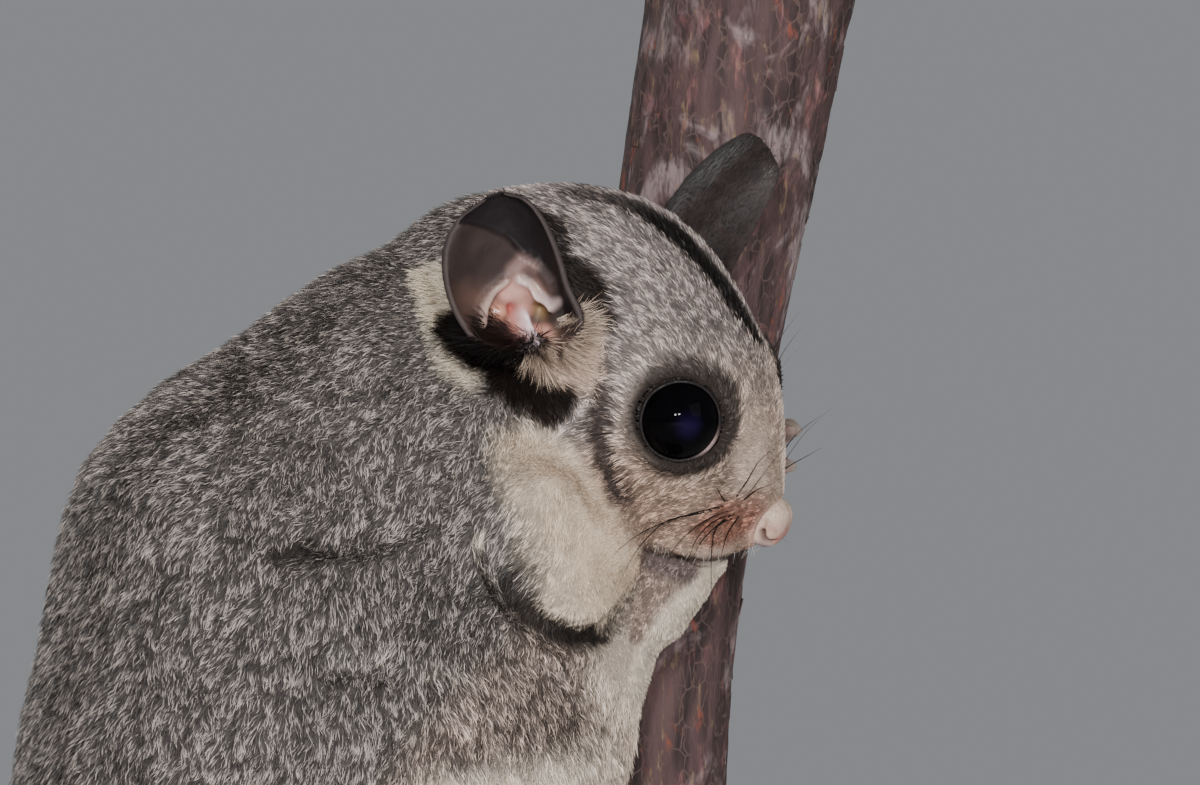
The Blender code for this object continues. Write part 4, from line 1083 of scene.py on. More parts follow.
def blades(name, spine, across, widths, colours, uv, finish, slot):
    """Hair pieces from the points along each hair. Each piece holds only so many hairs."""
    count, steps = spine.shape[:2]
    faces = BLADE_FACES if steps == 3 else LONG_FACES
    spots = BLADE_PATCH if steps == 3 else LONG_PATCH
    limit = HAIRS_TO_A_PIECE if steps == 3 else HAIRS_TO_A_PIECE * 3 // 5
    order = np.argsort(spine[:, 0, 2], kind="stable")
    made = []
    parts = max(1, math.ceil(count / limit))
    for number, chosen in enumerate(np.array_split(order, parts)):
        rows = []
        shades = []
        for k in range(steps):
            centre = spine[chosen, k]
            shade = colours[chosen, k]
            if k == steps - 1:
                rows.append(centre)
                shades.append(shade)
            else:
                half = across[chosen] * (widths[chosen, k] / 2)[:, None]
                rows += [centre - half, centre + half]
                shades += [shade, shade]
        points = np.stack(rows, axis=1)
        each = points.shape[1]
        table = (np.arange(len(chosen)) * each)[:, None, None] + faces[None]
        table = table.reshape(-1, 3)
        corner = (uv[chosen][:, None] + spots[None]).reshape(-1, 2)[table.ravel()]
        shades = np.stack(shades, axis=1).reshape(-1, 3)
        corner = np.clip(corner, 0, 1)
        piece = mesh_object(f"{name}_{number + 1}", points.reshape(-1, 3), table, shades, corner)
        made.append(dress(piece, finish, slot))
    return made


def clumps(points, size, salt):
    """The middle of the clump that each hair belongs to, and a random number for each clump."""
    warped = points + np.stack([cloud(points, size * 1.7, salt + k) for k in range(3)], axis=1) * size * 0.6
    cells = np.floor(warped / size).astype(np.int64)
    chance = hashed(cells, salt)
    key = (hashed(cells, salt + 9) * 2**40).astype(np.int64) + (chance * 2**20).astype(np.int64)
    _, group = np.unique(key, return_inverse=True)
    total = np.bincount(group)
    middle = np.stack([np.bincount(group, points[:, k]) / total for k in range(3)], axis=1)
    return middle[group], chance


def turned(vectors, about, angle):
    """Vectors turned about others that are square to them."""
    cos, sin = np.cos(angle)[:, None], np.sin(angle)[:, None]
    return vectors * cos + np.cross(about, vectors) * sin


def short_coat(skin, finish, rng):
    """The coat of the body and head, from places on the skin."""
    f = skin.fields
    view = unit(np.array([[0.0, -1.0, 0.0]]))
    seen = smoothstep(-0.35, 0.15, (skin.normals * view).sum(1)) * smoothstep(-52.0, -40.0, skin.points[:, 2])
    velvet = velvet_share(skin.points)
    head_share = np.clip(np.maximum(f["head"] * 1.15 + f["neck"] * 0.7, velvet), 0, 1)
    head = in_head(skin.points)
    muzzle = smoothstep(8.0, 19.0, head[:, 0] - 0.3 * head[:, 2] - 2.0) * head_share
    distance, facing, _ = about_eye(head)
    bare = (distance < EYE_RADIUS + 0.12) | ((facing > 0.46) & (distance < EYE_RADIUS + 0.5))
    pad = np.linalg.norm((head - NOSE_CENTRE + (0.5, 0.0, 0.1)) / (3.0, 3.2, 2.7), axis=1) < 1
    density = 9.6 + 19.9 * seen
    density = density * (1 - head_share) + head_share * (14.0 + 26.0 * seen + 14 * muzzle * seen)
    density *= 1 - 0.97 * smoothstep(0.3, 0.9, f["tail"])
    density[bare | pad] = 0
    from_mouth = about_mouth(skin.points)[0] + (1 - smoothstep(4.0, 8.0, head[:, 0])) * 9
    density *= smoothstep(0.2, 0.5, from_mouth)
    seeds = skin.seeds(density, rng)
    count = len(seeds[0])
    root = skin.at(seeds, skin.points)
    normal = unit(skin.at(seeds, skin.normals))
    lie = skin.at(seeds, f["lie"])
    depth = skin.at(seeds, f["depth"])
    bend = skin.at(seeds, f["bend"])
    at_head = skin.at(seeds, head_share)
    at_muzzle = skin.at(seeds, muzzle)
    at_seen = skin.at(seeds, seen)
    at_velvet = skin.at(seeds, velvet)
    sway = layered(root, 7.0, 21) * 0.35 + layered(root, 2.4, 27, 2) * 0.28
    middle, chance = clumps(root, BODY_CLUMP, 31)
    small_middle, small_chance = clumps(root, HEAD_CLUMP, 41)
    middle = middle + (small_middle - middle) * at_head[:, None]
    chance = chance * (1 - at_head) + small_chance * at_head
    stray = rng.normal(0, 0.2 - 0.06 * at_head, count) + (chance - 0.5) * (0.8 - 0.35 * at_head)
    lie = turned(lie, normal, sway * (1 - 0.75 * at_head) + stray)
    lie = unit(lie - normal * (lie * normal).sum(1)[:, None])
    length = (4.2 - 2.35 * at_seen) * (1 - at_head) + at_head * (1.45 - 0.75 * at_muzzle - 0.2 * at_velvet)
    length *= rng.uniform(0.7, 1.15, count) * (0.85 + 0.3 * chance)
    length = np.minimum(length, 0.7 + depth * 2.6)
    length *= np.clip(skin.at(seeds, from_mouth) / 1.4, 0.35, 1.0)
    height = np.minimum(depth * rng.uniform(0.45, 1.0, count) * (0.82 + 0.25 * chance), length * 0.75) + 0.04
    reach = np.sqrt(np.maximum(length**2 - height**2, 0.01))
    drop = np.clip(bend * reach**2 / 2, -0.25 * length, 0.55 * length)
    pull = middle - root
    pull *= (np.linalg.norm(pull, axis=1) < LONGEST_PULL)[:, None]
    pull -= normal * (pull * normal).sum(1)[:, None]
    first = root - normal * 0.12
    pull *= (1 - 0.8 * at_velvet)[:, None]
    up = normal * (height * 0.74 - drop * 0.3)[:, None]
    second = root + up + lie * (reach * 0.55)[:, None] + pull * 0.2
    third = root + normal * (height - drop)[:, None] + lie * reach[:, None] + pull * 0.45
    spine = np.stack([first, second, third], axis=1)
    roll = rng.normal(0, 0.5, count)
    side = np.cross(lie, normal)
    across = unit(side * np.cos(roll)[:, None] + normal * np.sin(roll)[:, None])
    on_head = 0.068 + 0.055 * (1 - at_seen) - 0.014 * at_muzzle
    width = (0.1 + 0.09 * (1 - at_seen)) * (1 - at_head) + at_head * on_head
    width *= rng.uniform(0.75, 1.25, count)
    widths = np.stack([width, width * 0.85, width * 0], axis=1)
    there = {part: skin.at(seeds, f[part]) for part in MARKED_PARTS}
    base = markings(root, {**there, "normal": normal})
    light = base.max(1)
    patchy = 1 + 0.25 * layered(root, 3.2, 51) + 0.35 * (chance - 0.5)
    _, speck = clumps(third, LIGHT_CLUMP, 61)
    tip_light = rng.random(count) * 0.28 + speck * 0.72 < 0.4
    root_gain = np.full(count, 0.22)
    mid_gain = np.where(tip_light, rng.uniform(1.0, 2.0, count), rng.uniform(0.28, 0.62, count))
    tip_gain = np.where(tip_light, rng.uniform(2.6, 5.6, count), rng.uniform(0.12, 0.5, count))
    contrast = (1 - 0.66 * smoothstep(0.25, 0.8, light)) * smoothstep(0.02, 0.1, light)
    gains = np.stack([root_gain, mid_gain, tip_gain], axis=1) ** contrast[:, None] * patchy[:, None]
    colours = base[:, None, :] * gains[..., None]
    warm = np.array([1.04, 1.0, 0.95])
    colours[:, 2] *= np.where((tip_light & (contrast > 0.5))[:, None], warm, 1.0)
    colours = held(colours * COAT_GAIN, PALEST_HAIR)
    return blades("coat", spine, across, widths, colours, skin.uv_at(seeds), finish, "grey_coat")


def tail_coat(skin, finish, rng):
    """Long hair along the tail, drawn together into pointed locks that lie over one another."""
    path, reach, side, deep = tail_line()
    last = len(path) - 1
    step = np.linalg.norm(np.diff(path, axis=0), axis=1).mean()
    count = TAIL_HAIRS
    start = rng.random(count) ** 0.92 * (last - 5) - 1
    angle = rng.random(count) * 2 * math.pi
    length = rng.uniform(13.0, 19.0, count) * (0.55 + 0.45 * np.interp(start, range(last + 1), reach) / 11.2)
    uneven = cloud(np.stack([start / 9, angle * 2, angle * 0], 1), 1.0, 5) * 0.5
    cell_along = np.floor(start / LOCK_STEP + uneven)
    cell_round = np.floor(angle / (2 * math.pi) * LOCKS_ROUND_TAIL + cell_along * 0.5)
    cells = np.stack([cell_along, cell_round % LOCKS_ROUND_TAIL, cell_along * 0], axis=1).astype(np.int64)
    chance = hashed(cells, 71)
    middle_angle = (cell_round + 0.5 - cell_along * 0.5) / LOCKS_ROUND_TAIL * 2 * math.pi
    middle_start = (cell_along + 0.5) * LOCK_STEP
    lock_length = 15.0 + 5.0 * hashed(cells, 77)
    swing = (hashed(cells, 83) - 0.5) * 0.5
    level = rng.random(count) ** 0.6
    spine = []
    for share in (0.0, 0.34, 0.68, 1.0):
        gather = share**1.3 * 0.8
        begin = start + (middle_start - start) * gather * 0.5
        long = length + (lock_length - length) * gather
        place = np.clip(begin + share * long / step, 0, last)
        k = np.minimum(place.astype(int), last - 1)
        s = (place - k)[:, None]
        centre = path[k] * (1 - s) + path[k + 1] * s
        wide = side[k] * (1 - s) + side[k + 1] * s
        thick = deep[k] * (1 - s) + deep[k + 1] * s
        out = reach[k] * (1 - s[:, 0]) + reach[k + 1] * s[:, 0]
        turn = angle + (middle_angle - angle) * gather + swing * share
        core = 0.34 * np.interp(start, range(last + 1), reach)
        lift = share ** (0.62 + 0.3 * (1 - level))
        target = out * (0.45 + 0.53 * level * (0.86 + 0.14 * chance))
        radius = core + (target - core) * lift
        outward = wide * np.cos(turn)[:, None] + thick * np.sin(turn)[:, None]
        spine.append(centre + outward * radius[:, None])
    spine = np.stack(spine, axis=1)
    outward = unit(spine[:, 2] - path[np.clip(start, 0, last).astype(int)])
    way = unit(spine[:, 3] - spine[:, 1])
    roll = rng.normal(0, 0.45, count)
    flat = unit(np.cross(way, outward))
    across = unit(flat * np.cos(roll)[:, None] + outward * np.sin(roll)[:, None])
    width = rng.uniform(0.26, 0.42, count)
    widths = np.stack([width * 0.8, width, width * 0.75, width * 0], axis=1)
    dark = smoothstep(0.2, 0.8, np.clip(start / last, 0, 1) + 0.08 * (chance - 0.5))
    base = mixed(plain(np.array(GREY) * 1.05, count), TAIL_DARK, dark)
    gains = [rng.uniform(low, high, count) for low, high in ((0.35, 0.5), (0.6, 0.9), (0.8, 1.2))]
    gains.append(np.where(rng.random(count) < 0.35, 1.8, 0.8))
    gains = np.stack(gains, axis=1) * (0.75 + 0.5 * chance)[:, None]
    colours = np.clip(base[:, None, :] * gains[..., None] * COAT_GAIN, 0.002, 0.9)
    tree = KDTree(len(skin.points))
    tail_points = np.flatnonzero(skin.points[:, 2] < -82)
    for i in tail_points:
        tree.insert(skin.points[i], int(i))
    tree.balance()
    nearest = np.array([tree.find(p)[1] for p in spine[:, 0]])
    return blades("tail_hair", spine, across, widths, colours, skin.uv_of_point[nearest], finish, "tail_coat")


# Eyes and lids


def lathe(name, centre, axis, outline, sides):
    """A closed round piece: rows of distance along the axis and radius, from the back to the front."""
    axis = np.asarray(axis, float) / np.linalg.norm(axis)
    across = np.cross(axis, (0.0, 0.0, 1.0) if abs(axis[2]) < 0.9 else (1.0, 0.0, 0.0))
    across /= np.linalg.norm(across)
    other = np.cross(axis, across)
    turn = np.linspace(0, 2 * math.pi, sides, endpoint=False)
    ring = np.cos(turn)[:, None] * across + np.sin(turn)[:, None] * other
    points = [centre + axis * along + ring * radius for along, radius in outline]
    points = np.vstack([*points, [centre + axis * outline[0][0]], [centre + axis * outline[-1][0]]])
    return mesh_object(name, points, tube_faces(len(outline), sides))


def eye_frame(side):
    centre = from_head(EYE_CENTRE * (1, side, 1))
    axis = HEAD_AXES @ (EYE_AXIS * (1, side, 1))
    return centre, axis


def make_eye(name, side, finish):
    """A dark globe with the cornea's slight bulge and a violet painted reflection near the highlight."""
    centre, axis = eye_frame(side)
    outline = []
    for degrees in np.linspace(-88, 88, 45):
        a = math.radians(degrees)
        bulge = 1 + 0.035 * float(smoothstep(45.0, 75.0, degrees))
        outline.append((EYE_RADIUS * math.sin(a) * bulge, EYE_RADIUS * math.cos(a)))
    globe = lathe(name, centre, axis, outline, 72)
    # A violet painted reflection on the dark globe
    reflected_spot = centre + (axis + HEAD_AXES @ np.array([0.13, 0.0, 0.02])) * EYE_RADIUS
    violet = smoothstep(2.0, 0.3, np.linalg.norm(points_of(globe.data) - reflected_spot, axis=1))
    paint(globe.data, mixed(plain((0.0014, 0.0011, 0.0016), len(violet)), (0.006, 0.0035, 0.019), violet))
    return dress(globe, finish, "eye_black", name)


def make_lid(name, side, finish, coat, rng):
    """The bare wet rim round the eye, drawn out to a corner in front and behind."""
    centre, axis = eye_frame(side)
    forward = HEAD_AXES @ np.array([0.99, 0.0, -0.16])
    forward = forward - axis * (forward @ axis)
    forward /= np.linalg.norm(forward)
    upward = np.cross(axis, forward)
    if upward @ HEAD_AXES[:, 2] < 0:
        upward = -upward
    around, tube = 96, 12
    points = []
    for i in range(around):
        a = 2 * math.pi * i / around
        corner = 0.03 * max(math.cos(a), 0) ** 14 + 0.02 * max(-math.cos(a), 0) ** 14
        opening = LID_OPENING + corner
        way = forward * math.cos(a) + upward * math.sin(a)
        middle = centre + (axis * math.cos(opening) + way * math.sin(opening)) * (EYE_RADIUS + 0.1)
        outward = (middle - centre) / np.linalg.norm(middle - centre)
        flat = np.cross(outward, np.cross(way, axis))
        flat /= np.linalg.norm(flat)
        thick = 0.22 + 0.03 * math.sin(a) + 0.02 * math.sin(9 * a + 1.2) + 0.2 * max(math.cos(a), 0) ** 14
        for j in range(tube):
            b = 2 * math.pi * j / tube
            points.append(middle + outward * (0.17 * math.sin(b)) + flat * (thick * math.cos(b)))
    corner = np.repeat(np.clip(np.cos(np.linspace(0, 2 * math.pi, around, endpoint=False)), 0, 1) ** 10, tube)
    shade = mixed(plain((0.011, 0.008, 0.008), len(points)), (0.30, 0.21, 0.20), corner**2 * 0.9)
    rim = mesh_object(name, np.array(points), tube_faces(around, tube, looped=True), shade)
    turn_outward(rim)
    dress(rim, finish, "head_coat")
    hide = Hide(rim)
    away = hide.points - centre
    away -= (away @ axis)[:, None] * axis
    facing = math.copysign(1, (points[0] - points[tube // 2]) @ away[0])
    round_tube = np.linspace(0, 2 * math.pi, tube, endpoint=False)
    outer = np.tile(smoothstep(-0.2, 0.5, facing * np.cos(round_tube)), around)
    density = 70.0 * outer * (1 - corner)
    tone = (0.040, 0.031, 0.028)
    grow(hide, name, density, unit(away), (0.35, 0.8), (0.04, 0.06), tone, coat, rng, "head_coat")
    return rim


def turn_outward(obj):
    with opened(obj.data) as bm:
        bmesh.ops.recalc_face_normals(bm, faces=bm.faces)


def make_nose(finish, coat, rng):
    """The bare pad, with comma nostrils, a groove down its middle and a fine pebbled skin."""
    bm = bmesh.new()
    bmesh.ops.create_icosphere(bm, subdivisions=6, radius=1.0)
    mesh = bpy.data.meshes.new("nose_pad")
    bm.to_mesh(mesh)
    bm.free()
    flat = np.empty(len(mesh.vertices) * 3, np.float32)
    mesh.vertices.foreach_get("co", flat)
    ball = flat.reshape(-1, 3).astype(float)
    square = np.sign(ball) * np.abs(ball) ** 0.9
    taller = 1 + 0.28 * smoothstep(-0.1, 0.7, ball[:, 2]) + 0.14 * smoothstep(0.1, -0.7, ball[:, 2])
    longer = np.where(ball[:, 0] > 0, 0.92, 1.35)
    head = NOSE_CENTRE + square * NOSE_RADII * np.stack([longer, np.ones_like(taller), taller], axis=1)
    out = unit(ball)
    middle = np.exp(-((head[:, 1] / 0.3) ** 2)) * smoothstep(0.1, 0.6, ball[:, 0])
    head -= out * (middle * 0.1)[:, None]
    mirrored = head * (1, 0, 1) + np.abs(head[:, 1:2]) * (0, 1, 0)
    slit = curve(((22.36, 2.42, -7.28), (22.7, 2.2, -7.73), (23.12, 1.9, -7.97), (23.6, 1.4, -7.88)), 16)
    hole, _ = distance_to_line(mirrored, slit)
    crease, _ = distance_to_line(mirrored, ((22.0, 2.5, -6.2), (22.2, 2.5, -6.8), (22.36, 2.42, -7.28)))
    wing = np.linalg.norm((mirrored - (21.9, 2.3, -8.3)) / (0.85, 0.8, 0.9), axis=1)
    head += out * (np.exp(-(wing**2)) * 0.5)[:, None]
    head -= out * (np.exp(-((hole / 0.26) ** 2)) * 0.7 + np.exp(-((crease / 0.25) ** 2)) * 0.25)[:, None]
    head += out * (cloud(head, 0.32, 61) * 0.03)[:, None]
    points = from_head(head)
    shade = plain((0.47, 0.315, 0.25), len(points))
    shade = mixed(shade, (0.30, 0.15, 0.12), smoothstep(0.0, 0.8, layered(points, 0.9, 62)) * 0.55)
    tip = patch(mirrored, ((23.7, 1.1, -7.6), (24.2, 0.3, -6.9)), 0.3, 1.0)
    shade = mixed(shade, (0.40, 0.14, 0.115), tip * 0.75)
    shade = mixed(shade, (0.60, 0.45, 0.34), np.exp(-(wing**2)) * 0.8)
    shade = mixed(shade, (0.58, 0.45, 0.35), smoothstep(0.2, 0.9, ball[:, 2]) * 0.6)
    violet = patch(mirrored, ((22.4, 2.0, -8.7), (23.2, 1.2, -8.8)), 0.3, 0.9)
    shade = mixed(shade, (0.36, 0.24, 0.27), violet * 0.7)
    # Painted shade inside the nostrils' slits
    shade = mixed(shade, (0.05, 0.022, 0.02), np.exp(-((hole / 0.32) ** 2)))
    set_points(mesh, points)
    paint(mesh, shade)
    nose = placed("nose_pad", mesh)
    mesh.shade_smooth()
    dress(nose, finish, "nose_skin", "nose")
    fuzzy = smoothstep(0.35, -0.25, ball[:, 0] - 0.6 * ball[:, 2]) * smoothstep(0.3, 0.9, hole)
    back = from_head((-1.0, 0.0, 0.3)) - HEAD_ORIGIN
    tone = (0.44, 0.34, 0.26)
    grow(Hide(nose), "nose", 42.0 * fuzzy, back, (0.25, 0.6), (0.03, 0.045), tone, coat, rng, "nose_skin")
    return nose


# Ears


def ear_axes(name):
    """An ear's root, its long axis, the way that it opens, and the way across it."""
    base, axis, opening = (np.array(v, float) for v in EARS[name][:3])
    axis = axis / np.linalg.norm(axis)
    opening = opening - axis * (opening @ axis)
    opening /= np.linalg.norm(opening)
    return base, axis, opening, np.cross(axis, opening)


def ear_chart(t, table, a, radius, drawn_in):
    """Where a place on an ear shows in the side view, from its root, with the ear posed as the right one."""
    _, axis, opening, side = ear_axes("ear_right")
    place = axis * (EAR_LENGTH * t)[:, None] + opening * (table[:, 2] + radius * (1 - np.cos(a)))[:, None]
    return (place + side * (radius * np.sin(a) * drawn_in)[:, None]) * (1, 0, 1)


FOLD = ((-9.5, 0.0, 12.4), (-7.8, 0.0, 12.65), (-5.8, 0.0, 12.25), (-3.8, 0.0, 11.45), (-2.0, 0.0, 9.85),
        (-0.4, 0.0, 9.25), (1.4, 0.0, 7.25), (1.7, 0.0, 5.6), (2.2, 0.0, 3.0))
# The crests of these ridges are painted lighter, as painted highlights
FOLD_CREST = ((-3.0, 0.0, 8.3), (-2.2, 0.0, 9.1), (-1.4, 0.0, 9.5), (-0.6, 0.0, 9.3))
REAR_EDGE = ((-6.5, 0.0, 2.6), (-6.4, 0.0, 4.45), (-5.6, 0.0, 5.85), (-4.0, 0.0, 7.45))
LOBE_CREST = ((-2.6, 0.0, 7.5), (-1.2, 0.0, 7.25), (0.4, 0.0, 6.05), (1.5, 0.0, 5.05))
LOWER_LOBE = ((-2.3, 0.0, 3.9), (-2.1, 0.0, 2.2), (-1.8, 0.0, 0.0))
EAR_PINK = ((-3.6, 0.0, 6.2), (-1.0, 0.0, 6.2), (-3.0, 0.0, 4.0), (-2.0, 0.0, 1.5), (0.6, 0.0, 2.0))
# Lobes: the middle in the chart, width, height and colour
EAR_LOBES = (
    ((-0.7, 0.0, 6.2), 1.25, 0.9, (0.70, 0.42, 0.36)),
    ((-3.2, 0.0, 6.0), 1.25, 0.35, (0.62, 0.36, 0.31)),
    ((-4.8, 0.0, 4.1), 0.95, 1.2, (0.62, 0.28, 0.20)),
    ((1.0, 0.0, 1.5), 1.3, 0.3, (0.70, 0.43, 0.32)),
    ((-0.2, 0.0, 4.7), 0.9, -1.2, (0.34, 0.21, 0.09)),
    ((-3.4, 0.0, 4.4), 0.5, -0.8, (0.36, 0.05, 0.04)),
)


def ear_relief(chart):
    """Height and colour inside the cup: the dark flap above the cross fold, the folds with painted highlights
    on their crests, and the pink lobes.
    """
    line = np.array(FOLD)
    above = chart[:, 2] - np.interp(chart[:, 0], line[:, 0], line[:, 2])
    from_fold, _ = distance_to_line(chart, FOLD)
    signed = np.where(above > 0, from_fold, -from_fold)
    under = smoothstep(0.25, -0.2, signed)
    height = 0.95 * under * smoothstep(-7.0, -0.5, signed)
    height += 0.35 * patch(chart, FOLD_CREST, 0.1, 0.8) + 0.75 * patch(chart, REAR_EDGE, 0.1, 0.7)
    height += 0.8 * patch(chart, LOBE_CREST, 0.1, 0.75) + 1.3 * patch(chart, LOWER_LOBE, 0.2, 1.0)
    height += 0.05 * layered(chart + (0, 3.0, 0), 0.9, 92)
    shade = plain((0.012, 0.008, 0.009), len(chart))
    brown = plain((0.036, 0.023, 0.021), len(chart))
    # Painted highlight along the cross fold's crest
    brown = mixed(brown, (0.24, 0.15, 0.135), patch(chart, FOLD_CREST, 0.2, 1.5))
    rear_low = smoothstep(8.0, 5.0, chart[:, 2]) * smoothstep(-4.0, -6.0, chart[:, 0])
    brown = mixed(brown, (0.11, 0.06, 0.046), rear_low * 0.75)
    shade = shade * (1 - under[:, None]) + brown * under[:, None]
    pink = patch(chart, EAR_PINK, 0.8, 1.6)
    shade = mixed(shade, (0.50, 0.22, 0.18), pink * smoothstep(0.3, -0.6, signed))
    for centre, width, rise, colour in EAR_LOBES:
        near = np.exp(-(((chart - centre) ** 2).sum(1)) / width**2)
        height += rise * near
        shade = mixed(shade, colour, np.clip(near * 1.3, 0, 1) * 0.8)
    # Painted highlight along the lobe's crest
    shade = mixed(shade, (0.80, 0.60, 0.56), patch(chart, LOBE_CREST, 0.1, 0.8) * 0.8)
    shade = mixed(shade, (0.84, 0.66, 0.68), patch(chart, LOWER_LOBE, 0.25, 0.95) * 0.95)
    # Painted highlight along the rear edge
    shade = mixed(shade, (0.50, 0.34, 0.29), patch(chart, REAR_EDGE, 0.05, 0.45) * 0.9)
    return height, shade


def make_ear(name, finish, coat, rng):
    """A thin pinna with its rolled edge, its cross fold, and the pink lobes deep in the cup."""
    size = EARS[name][3]
    front_side = 1 if name == "ear_right" else -1
    rows, columns = 72, 64
    steps = np.array([0.0, 0.14, 0.28, 0.42, 0.56, 0.70, 0.82, 0.91, 0.97, 1.0])
    t1 = np.interp(np.linspace(0, 9, rows), range(10), steps)
    s1 = np.linspace(-1, 1, columns)
    place = np.linspace(0, 1, rows)
    shape_t = np.repeat(place, columns)
    t = np.repeat(t1, columns)
    s = np.tile(s1, rows)
    base, axis, opening, side = ear_axes(name)
    table = curve(EAR_SHAPE, 400)[np.clip((shape_t * 399).astype(int), 0, 399)]
    wrap = np.radians(table[:, 1])
    drawn_foot = 0.62 + 0.38 * smoothstep(0.0, 0.26, t)
    radius = size * table[:, 0] / np.sin(np.minimum(wrap, math.pi / 2)) * drawn_foot
    a = wrap * s
    middle = base + axis * (EAR_LENGTH * t)[:, None] + opening * table[:, 2:3]
    middle = middle + side * (radius * np.sin(a))[:, None] + opening * (radius * (1 - np.cos(a)))[:, None]
    inward = opening * np.cos(a)[:, None] - side * np.sin(a)[:, None]
    narrow, broad = (0.44, 1.08) if name == "ear_right" else (0.12, 1.3)
    front_share = 1 - narrow * smoothstep(0.0, 0.5, t)
    rear_share = 0.34 + (broad - 0.34) * smoothstep(0.06, 0.36, t)
    drawn_in = np.where(s * front_side > 0, front_share, rear_share)
    lateral = radius * np.sin(a)
    middle = middle + side * (lateral * (drawn_in - 1))[:, None]
    chart = ear_chart(t, table, a * front_side, radius / size, drawn_in)
    height, shade_inside = ear_relief(chart)
    fade = (1 - np.abs(s) ** 10) * smoothstep(1.0, 0.93, t)
    edge = np.abs(s) ** 8 * 0.35 * smoothstep(0.15, 0.35, t)
    inner = inward * (height * fade * size + edge)[:, None]
    thick = 0.34 * (1 - 0.5 * np.abs(s) ** 6) * (1 - 0.4 * t**6)
    front = middle + inner + inward * thick[:, None] * 0.8
    rear = middle - inward * (thick * 0.9)[:, None] + inner * 0.15
    points = np.vstack([front, rear])
    grid = np.arange(rows * columns).reshape(rows, columns)
    back = rows * columns
    faces = sheet_faces(grid)
    faces += [half[:, (0, 2, 1)] + back for half in faces]
    border = np.concatenate([grid[0, :-1], grid[:-1, -1], grid[-1, :0:-1], grid[:0:-1, 0]])
    following = np.roll(border, -1)
    faces.append(np.stack([border, border + back, following], 1))
    faces.append(np.stack([following, border + back, following + back], 1))
    mottle = layered(points, 2.4, 91)
    browner = smoothstep(-0.5, 0.8, mottle)
    dark = mixed(plain((0.016, 0.011, 0.0105), len(points)), (0.034, 0.023, 0.021), browner)
    shade = np.vstack([shade_inside, dark[back:]]) * (0.9 + 0.2 * mottle)[:, None]
    rim = np.tile(np.abs(s) ** 14, 2)
    shade = np.clip(mixed(shade, (0.05, 0.036, 0.034), rim * 0.7), 0.003, 0.9)
    ear = mesh_object(name + "_pinna", points, np.vstack(faces), shade)
    turn_outward(ear)
    dress(ear, finish, "ear_skin", name)
    hide = Hide(ear)
    on_rear = (1 - np.abs(s) ** 6) * smoothstep(0.02, 0.12, t) * smoothstep(1.0, 0.94, t)
    behind = np.concatenate([np.zeros(back), on_rear])
    tone = (0.028, 0.02, 0.018)
    grow(hide, name, 16.0 * behind, axis, (0.5, 1.0), (0.06, 0.1), tone, coat, rng, "ear_skin")
    high = np.where(s * front_side > 0, 0.24, 0.38)
    low = np.tile((1 - smoothstep(high - 0.12, high, t)) * smoothstep(0.3, 0.6, np.abs(s)), 2)
    away = unit(unit(points - base - (-1.0, -1.0, 1.5)) + (0.0, 0.25, 0.0))
    pale = np.tile(smoothstep(-1.9, -1.0, chart[:, 0]), 2)
    for share, tone in ((pale, (0.45, 0.345, 0.27)), (1 - pale, (0.009, 0.007, 0.007))):
        label = name + ("_pale" if share is pale else "_dark")
        density = 44.0 * low * share
        grow(hide, label, density, away, (1.8, 3.6), (0.05, 0.08), tone, coat, rng, "ear_skin", 0.2)
    return ear


def grow(hide, name, density, toward, lengths, widths, tone, finish, rng, slot, cling=1.0):
    """Fine hair on a small piece, lying one way, close along it or partly free of it."""
    hide.unwrap()
    seeds = hide.seeds(density, rng)
    count = len(seeds[0])
    root = hide.at(seeds, hide.points)
    normal = unit(hide.at(seeds, hide.normals))
    lie = hide.at(seeds, np.broadcast_to(toward, hide.points.shape)) + rng.normal(0, 0.22, (count, 3))
    lie = unit(lie - normal * (lie * normal).sum(1)[:, None] * cling)
    length = rng.uniform(*lengths, count)
    lift = length.mean() * 0.12
    spine = np.stack([root - normal * 0.04, root + normal * lift + lie * (length * 0.5)[:, None],
                      root + normal * lift * 1.2 + lie * length[:, None]], axis=1)
    width = rng.uniform(*widths, count)
    width = np.stack([width, width * 0.8, width * 0], axis=1)
    base = np.array(tone) * rng.uniform(0.45, 1.8, (count, 1))
    colours = np.stack([base * 0.6, base, base * 1.4], axis=1)
    across = unit(np.cross(lie, normal))
    return blades(name + "_hair", spine, across, width, colours, hide.uv_at(seeds), finish, slot)


# Whiskers, from a tree of nodes


def whisker_tree(finish):
    """Thin tapering tubes along the lines that it is given."""
    tree = Growth("whiskers", {"Lines": "Geometry", "Thickness": "Float", "Sides": "Int"})
    lines = tree.add("MeshToCurve", None, {"Mesh": tree["Lines"]})
    thick = (1.04 - tree.add("SplineParameter", out="Factor")) * tree["Thickness"]
    sized = tree.add("SetCurveRadius", None, {"Curve": lines, "Radius": thick})
    ring = tree.add("CurvePrimitiveCircle", None, {"Resolution": tree["Sides"], "Radius": 1.0})
    sockets = {"Curve": sized, "Profile Curve": ring, "Scale": thick, "Fill Caps": True}
    return tree.ending(tree.add("CurveToMesh", None, sockets), finish)


def grown_tubes(name, lines, tree, values, finish, slot):
    """A plain mesh from a tree of nodes run over lines of points."""
    points = np.vstack(lines)
    mesh = bpy.data.meshes.new(name)
    edges = []
    start = 0
    for line in lines:
        edges += [(start + i, start + i + 1) for i in range(len(line) - 1)]
        start += len(line)
    mesh.from_pydata([tuple(p) for p in (points + ORIGIN) * MM], edges, [])
    obj = run_tree(placed(name, mesh), tree, values)
    obj.data.shade_smooth()
    return dress(obj, finish, slot)


